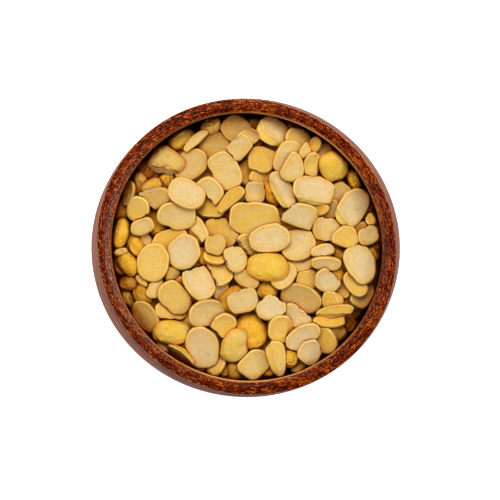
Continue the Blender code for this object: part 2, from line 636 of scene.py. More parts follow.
@dataclass
class TurnedBowl:
    """The bowl: a flat foot, a full belly that is a little oval, a rounded rim, and a lip that leans in.

    The pulls are the corners that the curves of the profile head for, as radius and height, or as the
    height or radius alone where the other is that of the curve's end. Each band of painted highlight, sheen
    and shade is its middle and width: inner_band and rim_shade_band in shares of the rim's width out from the
    lip, lip_band in millimetres out from the lip, and line_band in millimetres below the rim's outer edge.
    """

    height: float = 52.0
    foot_radius: float = 29.5
    foot_ease: float = 0.9
    foot_pull: tuple[float, float] = (44.0, 2.6)
    belly_radius: float = 60.3
    belly_height: float = 33.0
    belly_pull_low: float = 16.0
    belly_pull_high: float = 40.0
    rim_pull: tuple[float, float] = (58.6, 46.5)
    rim_radius: float = 58.25
    rim_crown: float = 2.2
    rim_squareness: float = 0.7
    mouth_radius: float = 52.65
    lip_pull: tuple[float, float] = (52.9, 45.5)
    hollow_radius: float = 54.7
    hollow_height: float = 34.0
    hollow_pull_high: float = 41.0
    hollow_pull_low: float = 18.0
    floor_height: float = 6.5
    floor_radius: float = 20.0
    floor_pull: float = 40.0
    belly_oval: float = 0.020
    rim_oval: float = 0.006
    rim_skew: float = 0.018
    mouth_skew: float = 0.011
    grain_stretch: float = 8.5
    grain_swing: float = 0.06
    grain_turn_deg: float = 44.0
    inner_band: tuple[float, float] = (0.28, 0.24)
    rim_shade_band: tuple[float, float] = (0.6, 0.14)
    lip_band: tuple[float, float] = (0.16, 0.36)
    line_band: tuple[float, float] = (0.8, 2.0)
    edge_depth: float = 0.1
    edge_width: float = 0.6
    edge_shade: float = 0.35
    edge_shade_swing: float = 0.75
    edge_shaded_deg: float = -85.0
    matt_depth: float = 1.2
    patch_level: float = 0.87
    patches: tuple[tuple[float, int, float], ...] = ((0.08, 7, 1.0), (0.05, 17, 2.0))
    # Painted light round the bowl: a highlight on the lip, a sheen in the pores, then four kinds of painted
    # shade
    rubbed: PaintedLight = PaintedLight(0.25, ((0.85, 268, 40), (0.85, 62, 30), (-0.2, -10, 30)))
    dusty: PaintedLight = PaintedLight(0.0, ((0.5, 188, 42), (0.16, 0, 34)))
    rim_shade: PaintedLight = PaintedLight(0.104, ((0.156, 240, 70),))
    inner_shade: PaintedLight = PaintedLight(0.0, ((0.3, -12, 42),))
    under_rim_shade: PaintedLight = PaintedLight(0.0, ((0.5, 285, 48),))
    rim_line_shade: PaintedLight = PaintedLight(0.0, ((0.55, 228, 36),))
    around: int = 288
    curve_steps: int = 22
    rim_steps: int = 26

    @property
    def rim_base(self) -> float:
        """Where the rounding of the rim begins."""
        return self.height - self.rim_crown

    def outer_wall(self) -> list[tuple[float, float]]:
        """The profile from the foot up over the belly to the rim's outer edge.

        Returns:
            Radius and height of each ring.
        """
        foot = (self.foot_radius + self.foot_ease, self.foot_ease)
        belly = (self.belly_radius, self.belly_height)
        edge = (self.rim_radius, self.rim_base)
        low_pull = (self.belly_radius, self.belly_pull_low)
        high_pull = (self.belly_radius, self.belly_pull_high)
        lower = curve(foot, self.foot_pull, low_pull, belly, self.curve_steps)
        upper = curve(belly, high_pull, self.rim_pull, edge, self.curve_steps)
        return [(self.foot_radius, 0.0), foot, *lower, *upper]

    def rim(self) -> list[tuple[float, float]]:
        """The profile over the top of the rim, from its outer edge to the lip.

        Returns:
            Radius and height of each ring.
        """
        middle = (self.rim_radius + self.mouth_radius) / 2
        half = (self.rim_radius - self.mouth_radius) / 2
        turns = [math.pi * step / self.rim_steps for step in range(1, self.rim_steps + 1)]
        rise = [self.rim_crown * max(math.sin(t), 0.0) ** self.rim_squareness for t in turns]
        return [(middle + half * math.cos(t), self.rim_base + up) for t, up in zip(turns, rise)]

    def inner_wall(self) -> list[tuple[float, float]]:
        """The profile of the hollow, from the lip past its widest ring to the flat floor.

        Returns:
            Radius and height of each ring.
        """
        lip = (self.mouth_radius, self.rim_base)
        widest = (self.hollow_radius, self.hollow_height)
        floor = (self.floor_radius, self.floor_height)
        high_pull = (self.hollow_radius, self.hollow_pull_high)
        low_pull = (self.hollow_radius, self.hollow_pull_low)
        floor_pull = (self.floor_pull, self.floor_height)
        under_lip = curve(lip, self.lip_pull, high_pull, widest, self.curve_steps // 2)
        return under_lip + curve(widest, low_pull, floor_pull, floor, self.curve_steps)

    def oval(self, height: np.ndarray) -> np.ndarray:
        """How much longer each ring is along X than across.

        Args:
            height: The rings' heights.

        Returns:
            The oval of each: none at the foot, most at the belly, and little at the rim.
        """
        below = np.sin(np.pi / 2 * np.clip(height / self.belly_height, 0, 1))
        above = np.clip((height - self.belly_height) / (self.height - self.belly_height), 0, 1)
        fall = self.belly_oval + (self.rim_oval - self.belly_oval) * np.sin(np.pi / 2 * above)
        return np.where(height < self.belly_height, self.belly_oval * below, fall)

    def skew(self, radius: np.ndarray, height: np.ndarray) -> np.ndarray:
        """How much longer each ring is from the upper left to the lower right.

        Args:
            radius: The rings' mean radii.
            height: Their heights.

        Returns:
            The skew of each: none up to the belly, and more at the rim's outer edge than at the mouth.
        """
        above = np.clip((height - self.belly_height) / (self.rim_base - self.belly_height), 0, 1)
        out = np.clip((radius - self.mouth_radius) / (self.rim_radius - self.mouth_radius), 0, 1)
        return (self.mouth_skew + (self.rim_skew - self.mouth_skew) * out) * above**2

    def turned(self, profile: list[tuple[float, float]], around: int) -> Shell:
        """Turns a profile into a closed solid.

        Args:
            profile: Radius and height of each ring, from the middle of one flat end to that of the other.
            around: How many points a ring has.

        Returns:
            The solid.
        """
        radius, height = np.array(profile).T
        turn = np.linspace(0, 2 * np.pi, around, endpoint=False)
        oval, skew = self.oval(height), self.skew(radius, height)
        cos, sin = np.cos(turn), np.sin(turn)
        x = (radius * (1 + oval))[:, None] * cos - (radius * skew)[:, None] * sin
        y = (radius * (1 - oval))[:, None] * sin - (radius * skew)[:, None] * cos
        z = np.repeat(height[:, None], around, axis=1)
        rings = np.stack([x, y, z], axis=-1).reshape(-1, 3)
        ends = np.array([[0, 0, height[0]], [0, 0, height[-1]]])
        faces = ring_faces(len(profile), around)
        faces += cap_faces(0, around, len(rings), flip=True)
        faces += cap_faces(len(rings) - around, around, len(rings) + 1, flip=False)
        return Shell(np.concatenate([rings, ends]), faces)

    def stretch(self, turn: np.ndarray, skew: float) -> np.ndarray:
        """How much wider than its mean radius a ring of the rim with this skew is in each direction."""
        return 1 + self.rim_oval * np.cos(2 * turn) - skew * np.sin(2 * turn)

    def mark_grain(self, shell: Shell, profile: list[tuple[float, float]]) -> None:
        """Gives each point its place in the wood's grain, in millimetres.

        The grain is drawn out along the turning marks, and leans across them twice round the bowl.

        Args:
            shell: The bowl's shell, which gets the mark.
            profile: The profile that it was turned from.
        """
        steps = np.hypot(*np.diff(np.array(profile), axis=0).T)
        along = np.concatenate([[0], np.cumsum(steps)])
        across = np.concatenate([np.repeat(along, self.around), [0, along[-1]]])
        turn = np.arctan2(shell.points[:, 1], shell.points[:, 0])
        lean = self.grain_swing * np.sin(2 * turn - math.radians(self.grain_turn_deg))
        round_way = self.rim_radius / self.grain_stretch
        shell.marks["grain"] = np.column_stack(
            [round_way * np.cos(turn), round_way * np.sin(turn), self.rim_radius * lean - across]
        )

    def mark_painted_light(self, shell: Shell) -> None:
        """Marks where highlight, sheen, reflection and shade are painted on the wood, and where it is
        rougher.

        A highlight is painted along the lip and a sheen in the pores of the rim's inner half. Shade is
        painted as a dark line at the rim's outer edge, strongest at the bottom, as a band across the rim's
        top, on the rim's inner half towards the right, on the walls below the rim towards the bottom, and as
        a line just below the rim's edge towards the lower left. The walls are rougher, with a reflection
        painted into their colour.

        Args:
            shell: The bowl's shell, which gets the marks.
        """
        radius, height = np.hypot(*shell.points[:, :2].T), shell.points[:, 2]
        turn = np.arctan2(shell.points[:, 1], shell.points[:, 0])
        over_rim = np.where(height > self.rim_base, 1.0, 0.0)
        below = self.rim_base - height
        lip_radius = self.mouth_radius * self.stretch(turn, self.mouth_skew)
        edge_radius = self.rim_radius * self.stretch(turn, self.rim_skew)
        share = (radius - lip_radius) / (edge_radius - lip_radius)
        inner_half = hump(share, *self.inner_band) * over_rim
        waves = sum(size * np.sin(count * turn + start) for size, count, start in self.patches)
        lip = hump(radius - lip_radius, *self.lip_band) * over_rim * (self.patch_level + waves)
        swing = self.edge_shade_swing * np.cos(turn - math.radians(self.edge_shaded_deg))
        shaded = np.clip(self.edge_shade + swing, 0, 1)
        edge = hump(np.hypot(radius - edge_radius, self.edge_depth - below), 0.0, self.edge_width)
        rim_shade = self.rim_shade.at(turn) * hump(share, *self.rim_shade_band) * over_rim
        line = self.rim_line_shade.at(turn) * hump(below, *self.line_band)
        under_rim_shade = (1 - over_rim) * (self.under_rim_shade.at(turn) + line)
        shading = rim_shade + under_rim_shade + self.inner_shade.at(turn) * inner_half
        # Painted highlight on the lip, painted shade, painted sheen in the pores, and the rougher wall
        shell.marks["rubbed"] = np.clip(self.rubbed.at(turn), 0, 1) * lip
        shell.marks["grimed"] = np.maximum(shaded * edge, shading)
        shell.marks["dusty"] = inner_half * self.dusty.at(turn)
        shell.marks["matt"] = np.clip(below / self.matt_depth, 0, 1)

    def inner_radius(self, height: np.ndarray) -> np.ndarray:
        """The hollow's radius at each height above the floor."""
        wall = np.array(self.inner_wall()[::-1])
        return np.interp(height, wall[:, 1], wall[:, 0])

    def floor_under(self, radius: np.ndarray) -> np.ndarray:
        """The height of the hollow's surface at each radius out to its widest ring."""
        wall = np.array([p for p in self.inner_wall() if p[1] <= self.hollow_height][::-1])
        return np.interp(radius, wall[:, 0], wall[:, 1])

    def build(self, wood: bpy.types.Material) -> bpy.types.Object:
        """Makes the bowl.

        Args:
            wood: Its finish.

        Returns:
            The piece, which stands for the CAD model's bowl.
        """
        profile = self.outer_wall() + self.rim() + self.inner_wall()
        shell = self.turned(profile, self.around)
        self.mark_grain(shell, profile)
        self.mark_painted_light(shell)
        piece = make_piece("bowl_wood", shell, wood, sharp_deg=60)
        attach(piece, "root")
        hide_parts("bowl")
        return piece


class Face(Enum):
    """Which side of a split bean is up."""

    FLAT = "split face up"
    DOME = "outside up"


class Tone(Enum):
    """A bean's colour, as how ripe its yellow is and how brown it is.

    The brown of the browner tones, such as TAN, OCHRE and DUSK, is partly painted shade, as they go to
    beans that lie low among the others or by the wall.
    """

    PALE = (0.0, 0.0)
    CREAM = (0.22, 0.0)
    STRAW = (0.48, 0.0)
    GOLD = (0.72, 0.0)
    AMBER = (0.92, 0.1)
    HONEY = (0.9, 0.35)
    HAY = (0.62, 0.12)
    OAT = (0.35, 0.24)
    BUFF = (0.15, 0.22)
    TAN = (0.45, 0.36)
    OCHRE = (0.75, 0.55)
    DUSK = (0.6, 1.0)


FLAT, DOME = Face
PALE, CREAM, STRAW, GOLD, AMBER, HONEY, HAY, OAT, BUFF, TAN, OCHRE, DUSK = Tone


@dataclass(frozen=True)
class Bean:
    """One split bean of the top of the heap.

    px and py are its middle in the photograph's 500 by 500 pixels. long, wide and thick are its real size in
    millimetres. turn is where its long way points, in degrees from the photograph's right, anticlockwise.
    roll tips it round its long way and lifts its left side, and pitch lifts its back end. Each cut is a
    straight break, as the direction it faces and its distance from the middle. notch is the same for the
    dent where the germ sat, as its direction and depth. egg is how much wider the front end is than the
    back, and bow how far the middle bends to the left, in millimetres. slant is how far a break's foot
    stands out past its top edge, and brown the side that is painted browner and darker as shade, as its
    direction and how much. Each of flats is a side that grew straight, given as a cut is. Each of facets is
    a side where the outside slopes up to a crease in the split face, given as the direction that it faces
    and how far out the crease lies.
    """

    px: float
    py: float
    long: float
    wide: float
    turn: float = 0.0
    face: Face = FLAT
    tone: Tone = CREAM
    roll: float = 0.0
    pitch: float = 0.0
    cuts: tuple[tuple[float, float], ...] = ()
    notch: tuple[float, float] = (0.0, 0.0)
    egg: float = 0.0
    bow: float = 0.0
    slant: float = 0.3
    brown: tuple[float, float] = (0.0, 0.0)
    thick: float = 3.6
    flats: tuple[tuple[float, float], ...] = ()
    facets: tuple[tuple[float, float], ...] = ()


# The beans that only show through gaps, from the bottom up; their browner tones are partly painted shade
LOW_BEANS = (
    Bean(148, 174, 11.0, 8.5, 0, DOME, DUSK),
    Bean(142, 165, 10.0, 7.5, 60, DOME, DUSK),
    Bean(256, 122, 7.5, 5.0, 0, DOME, OCHRE),
    Bean(373, 206, 8.0, 5.0, 75, DOME, OCHRE),
    Bean(377, 247, 8.0, 5.0, 60, DOME, OCHRE),
    Bean(351, 323, 8.5, 5.5, -75, DOME, DUSK),
    Bean(120, 264, 9.0, 6.0, 100, DOME, OCHRE),
    Bean(139.5, 183, 9.0, 6.2, 95, DOME, TAN),
    Bean(178, 151, 9.0, 6.0, 20, FLAT, GOLD),
    Bean(256, 139, 9.0, 6.5, 60, DOME, OCHRE),
    Bean(122, 207, 10.5, 6.5, 60, DOME, HONEY),
    Bean(227, 213, 9.0, 7.0, 60, DOME, OCHRE),
    Bean(197, 261, 9.0, 6.5, 20, DOME, HONEY),
    Bean(203, 255, 8.0, 6.0, -50, DOME, AMBER),
    Bean(181, 273, 6.0, 4.0, 80, DOME, OCHRE),
    Bean(155, 305, 9.0, 6.0, -50, FLAT, HONEY),
    Bean(336, 249, 12.0, 6.0, -55, DOME, OCHRE),
    Bean(374, 254, 6.0, 4.5, -60, DOME, OCHRE),
    Bean(284, 212, 7.5, 6.0, -50, DOME, OCHRE),
    Bean(291, 226, 12.0, 7.0, -20, DOME, HONEY),
    Bean(347, 302, 8.0, 5.5, 70, DOME, TAN),
    Bean(226, 371, 7.0, 5.5, 70, DOME, TAN),
    Bean(236, 371, 8.0, 6.5, 90, DOME, OCHRE),
    Bean(270, 371, 6.5, 5.0, 30, DOME, HONEY),
    Bean(199, 366, 7.5, 4.5, -20, DOME, AMBER),
    Bean(128, 298, 8.5, 4.6, -62, DOME, TAN),
    Bean(290, 346, 8.0, 6.0, -70, DOME, OCHRE),
    Bean(183, 346, 8.0, 5.5, 20, DOME, HONEY),
)

# The beans between, whose middles show, from the bottom up
MIDDLE_BEANS = (
    Bean(249, 172, 10.5, 8.5, 70, FLAT, GOLD),
    Bean(262, 177, 10.5, 7.0, 0, FLAT, HAY),
    Bean(142, 294, 9.5, 7.8, -60, DOME, HONEY),
    Bean(156, 222, 12.0, 8.4, -62, DOME, AMBER),
    Bean(210, 206, 14.5, 8.5, -12, FLAT, GOLD, flats=((265, 4.0),)),
    Bean(214, 144.5, 13.0, 10.5, 10, FLAT, OAT, brown=(90, 0.5)),
    Bean(184, 287, 10.0, 6.0, -55, FLAT, AMBER),
    Bean(220.5, 291, 8.6, 6.6, -70, FLAT, CREAM, brown=(270, 0.7)),
    Bean(267, 290, 9.0, 8.2, -10, DOME, HAY, cuts=((270, 3.2),)),
    Bean(235, 301, 12.5, 11.0, 30, DOME, HONEY),
    Bean(319, 240, 7.0, 5.5, 0, DOME, AMBER),
    Bean(361, 227, 5.6, 4.4, 20, FLAT, HONEY, flats=((110, 1.8),)),
    Bean(370.5, 219, 5.0, 3.8, -62, FLAT, GOLD, cuts=((150, 1.4),)),
    Bean(344, 288, 8.6, 6.6, 80, FLAT, TAN),
    Bean(167, 179, 7.6, 6.0, 45, DOME, GOLD),
    Bean(152, 187, 9.2, 6.4, 28, DOME, TAN),
    Bean(126.5, 191, 9.6, 6.0, 76, FLAT, STRAW, roll=-44),
    Bean(127.5, 282.5, 7.6, 6.0, 0, DOME, OCHRE, brown=(100, 0.5)),
    Bean(142, 280.5, 5.6, 2.6, -45, FLAT, STRAW, thick=2.4),
    Bean(170.5, 273, 7.6, 6.4, 40, DOME, OAT, brown=(20, 0.3)),
    Bean(145.5, 240, 7.0, 4.0, -58, FLAT, CREAM),
    Bean(211, 125, 9.0, 6.6, 25, DOME, OAT, roll=-14),
    Bean(181, 136.5, 12.0, 7.6, 25, DOME, STRAW),
    Bean(190.5, 164, 14.2, 10.8, 40, FLAT, OAT),
    Bean(236.5, 126.5, 12.2, 10.4, -35, FLAT, TAN, roll=-14),
    Bean(248, 137, 9.0, 6.0, 25, FLAT, CREAM, brown=(60, 0.8)),
    Bean(239.5, 147, 10.5, 8.6, 40, FLAT, CREAM, cuts=((125, 3.3), (215, 4.2)), flats=((320, 3.4),)),
    Bean(292, 126, 5.5, 4.0, -30, DOME, HONEY),
    Bean(273.5, 129.5, 13.4, 10.8, -22, FLAT, CREAM, brown=(45, 0.6), facets=((238, 2.6), (190, 4.6))),
    Bean(298, 138.5, 10.6, 8.6, -32, FLAT, STRAW, brown=(40, 0.35)),
    Bean(264.5, 160, 13.0, 11.0, 4, FLAT, HAY, notch=(238, 0.8), egg=-0.22, flats=((318, 4.3), (68, 4.5))),
    Bean(288, 157, 13.6, 10.4, 60, FLAT, CREAM, brown=(225, 0.2)),
    Bean(325.5, 148.5, 7.4, 6.0, 30, FLAT, STRAW, brown=(60, 0.7)),
    Bean(315, 144.5, 6.2, 4.4, 60, FLAT, GOLD, brown=(150, 0.6)),
    Bean(306, 150.5, 6.5, 4.2, 55, FLAT, CREAM, cuts=((20, 1.6),)),
    Bean(312, 163, 9.4, 6.4, 78, FLAT, STRAW, facets=((5, 1.5),)),
    Bean(341.5, 193, 9.6, 8.2, -50, FLAT, CREAM, brown=(300, 0.6)),
    Bean(357.5, 178, 9.0, 4.6, -72, DOME, GOLD),
    Bean(330, 208, 9.6, 7.2, 60, FLAT, TAN),
    Bean(321, 208.5, 6.6, 4.4, 12, FLAT, AMBER),
    Bean(272, 194, 11.8, 6.6, -62, DOME, AMBER),
    Bean(255, 191, 10.0, 7.8, 85, FLAT, CREAM, cuts=((8, 3.7), (90, 3.8)), brown=(0, 0.35)),
    Bean(170, 240, 14.2, 8.4, 17, FLAT, GOLD),
    Bean(136, 247.5, 11.4, 6.8, -62, DOME, GOLD),
    Bean(127.5, 264, 11.0, 7.8, -52, DOME, GOLD, roll=16, flats=((48, 3.6),), brown=(215, 0.9)),
    Bean(121, 251.5, 5.0, 2.3, 12, FLAT, CREAM, thick=2.4, cuts=((12, 2.2),)),
    Bean(154.5, 288, 8.8, 5.6, 62, FLAT, CREAM, cuts=((150, 2.2),)),
    Bean(144, 317, 13.4, 8.8, -57, FLAT, TAN, roll=18, brown=(215, 1.1)),
    Bean(170.5, 310.5, 13.0, 7.6, 0, FLAT, STRAW, cuts=((270, 3.4),)),
    Bean(165, 346, 6.4, 3.4, -28, FLAT, CREAM, thick=2.6),
    Bean(216.5, 364, 9.5, 7.2, 60, FLAT, STRAW),
    Bean(299, 366, 6.4, 4.0, 35, FLAT, STRAW),
    Bean(222, 232, 14.0, 12.0, -20, FLAT, HAY, cuts=((95, 5.4), (40, 4.6))),
    Bean(247.5, 243.5, 10.2, 6.6, -43, FLAT, STRAW, cuts=((216, 2.0),), slant=0.9),
    Bean(197.5, 231, 11.8, 7.6, -62, FLAT, CREAM, facets=((222, 1.4),), cuts=((300, 4.9),)),
    Bean(218, 272, 11.5, 10.5, -65, FLAT, STRAW, cuts=((208, 2.6),), flats=((95, 4.4),)),
    Bean(246.5, 278.5, 10.2, 6.6, -35, FLAT, OAT, roll=9),
    Bean(303, 262, 9.4, 7.2, 20, FLAT, CREAM),
    Bean(298.5, 244.5, 13.4, 12.0, 10, FLAT, CREAM),
    Bean(308, 279.5, 9.0, 7.6, 0, FLAT, STRAW, brown=(0, 0.6)),
    Bean(337, 273, 8.6, 6.2, -50, DOME, GOLD, brown=(300, 0.3)),
    Bean(322, 250.5, 9.6, 5.2, 6, FLAT, PALE, cuts=((280, 1.8),), slant=1.3),
    Bean(364, 294, 11.0, 9.0, 62, FLAT, OAT),
    Bean(356, 283.5, 11.0, 7.6, -55, FLAT, STRAW),
    Bean(302, 298, 16.2, 11.6, -18, FLAT, OAT),
    Bean(333, 300.5, 8.6, 7.4, -30, FLAT, HAY, cuts=((180, 3.9),), facets=((18, 2.2),)),
    Bean(339, 335, 10.4, 8.6, -25, DOME, OAT),
    Bean(327, 342, 11.2, 9.0, -62, FLAT, STRAW),
    Bean(329.5, 321, 13.0, 5.0, 5, FLAT, GOLD, thick=2.8, cuts=((0, 6.0),)),
    Bean(335, 311.5, 14.8, 4.8, 9, FLAT, HAY, thick=2.8, facets=((272, 0.8),)),
    Bean(251, 331, 15.0, 13.4, -50, DOME, GOLD),
    Bean(291, 359, 7.8, 6.8, 80, DOME, HAY),
    Bean(297.5, 316, 12.4, 8.4, -38, FLAT, CREAM, cuts=((50, 3.0),)),
    Bean(368.5, 234, 8.4, 7.4, 25, FLAT, CREAM, cuts=((114, 2.7),), flats=((180, 3.9),)),
    Bean(327, 229, 11.4, 9.4, -12, FLAT, CREAM, cuts=((85, 4.3), (265, 4.5)), brown=(180, 0.2)),
)

# The beans that nothing covers, from the bottom up
TOP_BEANS = (
    Bean(121, 232.5, 12.8, 6.2, 77, DOME, GOLD),
    Bean(346.5, 237, 11.0, 8.8, -5, FLAT, STRAW, flats=((28, 4.2), (130, 4.2), (250, 3.6), (320, 4.4))),
    Bean(152, 198, 13.8, 8.5, 10, FLAT, OAT, cuts=((222, 2.2), (110, 3.2)), slant=0.6),
    Bean(139, 208.5, 10.0, 8.6, 80, FLAT, STRAW, cuts=((298, 3.2),)),
    Bean(142, 225.5, 9.0, 6.3, 22, FLAT, CREAM),
    Bean(175.5, 215, 15.0, 10.8, -8, FLAT, CREAM, notch=(232, 0.8)),
    Bean(184, 251, 13.8, 12.6, 50, FLAT, PALE, flats=((130, 5.6), (15, 6.2))),
    Bean(153, 262, 14.8, 12.2, 78, FLAT, STRAW, roll=6),
    Bean(174.5, 296.5, 14.4, 11.0, -45, FLAT, STRAW, notch=(235, 0.5), flats=((48, 4.6),)),
    Bean(255, 218, 20.0, 14.0, -5, FLAT, STRAW, notch=(115, 0.9)),
    Bean(230, 200, 13.6, 5.4, 42, FLAT, HAY, bow=0.8, cuts=((222, 6.0),), slant=0.5, egg=0.2),
    Bean(225, 171, 15.4, 12.0, -62, FLAT, CREAM, notch=(185, 1.8)),
    Bean(210.5, 189.5, 11.2, 9.2, -43, FLAT, CREAM, cuts=((223, 2.0),)),
    Bean(186, 194, 14.6, 11.4, -20, FLAT, PALE),
    Bean(165, 158, 15.8, 12.4, 6, DOME, BUFF, cuts=((260, 4.1),), slant=1.3, flats=((50, 4.7), (145, 6.2))),
    Bean(195, 139.5, 11.6, 3.4, 42, FLAT, CREAM, thick=2.6, bow=0.5),
    Bean(334, 166.5, 13.2, 11.4, -55, DOME, STRAW, notch=(280, 0.9)),
    Bean(282, 190, 15.4, 7.8, -62, FLAT, PALE, facets=((212, 2.3),)),
    Bean(292.5, 166.5, 11.6, 8.9, 78, FLAT, CREAM, egg=-0.3, flats=((150, 3.3),)),
    Bean(
        300, 216, 14.6, 10.6, -10, FLAT, PALE, cuts=((135, 5.0),), flats=((248, 3.7),), facets=((335, 5.6),)
    ),
    Bean(313, 190.5, 17.2, 11.4, -6, FLAT, PALE, egg=-0.14, facets=((262, 4.4), (345, 7.7))),
    Bean(352.5, 207, 16.0, 10.8, 58, FLAT, PALE, roll=8, brown=(20, 0.5), facets=((215, 5.6),)),
    Bean(214, 258.5, 8.6, 6.2, -10, FLAT, GOLD, roll=-40),
    Bean(215, 245, 8.4, 7.9, 80, FLAT, OAT, cuts=((100, 3.6), (346, 4.0)), flats=((255, 3.6), (180, 3.8))),
    Bean(234.5, 259, 10.4, 9.0, -65, FLAT, CREAM, cuts=((205, 3.6), (100, 4.6))),
    Bean(270, 238, 15.8, 10.8, 10, FLAT, PALE),
    Bean(284, 276, 11.4, 8.4, 54, FLAT, CREAM, cuts=((330, 4.6),)),
    Bean(267.5, 266.5, 17.0, 11.6, -3, DOME, STRAW),
    Bean(326, 262, 11.8, 5.6, -5, FLAT, CREAM, roll=24),
    Bean(327.5, 279.5, 9.8, 9.4, -40, FLAT, PALE, cuts=((47, 2.9),)),
    Bean(360.5, 264, 15.8, 12.0, -64, FLAT, PALE, notch=(243, 0.5)),
    Bean(242, 300, 12.0, 10.0, 20, FLAT, CREAM, cuts=((358, 5.8), (107, 3.5)), flats=((278, 4.5),)),
    Bean(199, 282.5, 14.6, 11.2, -62, FLAT, PALE, roll=-10, cuts=((110, 5.6),)),
    Bean(271, 307, 11.4, 9.8, 10, FLAT, PALE, cuts=((130, 4.3), (55, 4.1), (300, 4.5))),
    Bean(206, 312, 14.4, 10.4, 5, FLAT, CREAM, brown=(80, 0.3)),
    Bean(222.5, 325.5, 10.6, 9.4, 60, FLAT, STRAW, cuts=((224, 3.2), (163, 4.2)), flats=((322, 4.2),)),
    Bean(281.5, 328.5, 10.8, 10.2, 80, FLAT, STRAW, facets=((354, 2.2),)),
    Bean(303.5, 336, 14.6, 8.8, 38, FLAT, PALE, notch=(312, 1.9), cuts=((245, 6.2),)),
    Bean(173, 333, 15.8, 10.2, -3, DOME, STRAW, notch=(232, 0.9)),
    Bean(202.5, 346.5, 16.8, 12.6, -80, FLAT, PALE),
    Bean(236, 346.5, 14.4, 11.6, 65, DOME, CREAM, notch=(8, 1.6)),
    Bean(254.5, 364.5, 12.6, 11.0, 35, FLAT, CREAM, roll=6, brown=(20, 0.5), flats=((135, 4.8), (315, 4.8))),
    Bean(181, 357, 12.8, 5.8, -38, FLAT, STRAW, roll=54, thick=2.8, brown=(235, 2.2)),
    Bean(311.5, 353.5, 10.0, 9.2, 60, FLAT, PALE, cuts=((102, 4.6), (22, 3.9))),
    Bean(276.5, 358.5, 14.2, 7.4, 101, FLAT, STRAW, egg=0.22, facets=((194, 0.9),)),
)


@dataclass
class Photograph:
    """Where the photograph shows things: the bowl's middle and the size of a pixel at the beans."""

    middle_px: float = 246.7
    middle_py: float = 246.9
    pixel_mm: float = 0.3925

    def place(self, px: float, py: float) -> tuple[float, float]:
        """Turns a pixel into a place over the bowl's floor, in millimetres."""
        return (px - self.middle_px) * self.pixel_mm, (self.middle_py - py) * self.pixel_mm


@dataclass
class Detail:
    """How finely a bean is made: its points around, and where the rings of its face and outside lie."""

    around: int
    face_shares: tuple[float, ...]
    dome_shares: tuple[float, ...]


FINE_FACE = Detail(64, (0.84, 0.66, 0.47, 0.27, 0.1), (0.96, 0.85, 0.65, 0.35))
FINE_DOME = Detail(64, (0.6, 0.25), (0.985, 0.95, 0.89, 0.8, 0.67, 0.51, 0.34, 0.17))
PLAIN = Detail(28, (0.6, 0.25), (0.95, 0.82, 0.6, 0.3))


@dataclass(frozen=True)
class EdgeRing:
    """One ring of the rounded edge between a bean's split face and its outside.

    inset is how far in from the edge it lies, height how high, and rise how much higher where the edge
    isn't broken, in millimetres. follows is how much of the face's hollows it has. skin, rim and warm are
    its marks where the edge isn't broken. rim is a bright line painted along the edge as a highlight, and
    warm the edge's golden and orange, partly its own colour and partly painted shade.
    """

    inset: float
    height: float
    rise: float
    follows: float
    skin: float
    rim: float
    warm: float


# Each ring's sixth value is the bright line painted along the face's edge as a highlight
EDGE_RINGS = (
    EdgeRing(0.45, 0.0, 0.04, 1.0, 0.0, 0.1, 0.8),
    EdgeRing(0.26, 0.01, -0.06, 0.0, 0.1, 1.0, 1.0),
    EdgeRing(0.05, -0.02, -0.14, 0.0, 0.6, 1.0, 1.0),
    EdgeRing(0.0, -0.06, -0.26, 0.0, 1.0, 0.5, 1.0),
)


@dataclass
class BeanRings:
    """The rings of a bean with their marks, from the middle of its face to that of its outside.

    The bean's ends curl up by bend, in millimetres for a bean of normal_long.
    """

    long: float
    bend: float
    normal_long: float = 14.0
    points: list[np.ndarray] = field(default_factory=list)
    marks: list[np.ndarray] = field(default_factory=list)

    def add(self, points: np.ndarray, height: np.ndarray, **marks: np.ndarray | float) -> None:
        """Adds one ring.

        Args:
            points: Its places in the bean's plane.
            height: Its height before the ends curl.
            marks: The marks that it has.
        """
        curl = self.bend * (points[:, 0] / (self.long / 2)) ** 2 * self.long / self.normal_long
        self.points.append(np.column_stack([points, height + curl]))
        columns = [np.broadcast_to(marks.get(name, 0.0), len(points)) for name in SHAPE_MARKS]
        self.marks.append(np.column_stack(columns))

    def closed(self, middle: np.ndarray, top: float, bottom: float) -> Shell:
        """Closes the rings with a point at each end.

        Args:
            middle: The bean's middle in its plane.
            top: The height of the middle of its face.
            bottom: The height of the middle of its outside.

        Returns:
            The closed shell.
        """
        around = len(self.points[0])
        last = len(self.points) * around
        points = np.concatenate([*self.points, [[*middle, top], [*middle, bottom]]])
        faces = [face[::-1] for face in ring_faces(len(self.points), around)]
        faces += cap_faces(0, around, last, flip=False)
        faces += cap_faces(last - around, around, last + 1, flip=True)
        face_end = [0.0] * len(SHAPE_MARKS)
        outside_end = [1.0, *face_end[1:]]
        values = np.concatenate([*self.marks, [face_end, outside_end]])
        return Shell(points, faces, dict(zip(SHAPE_MARKS, values.T)))


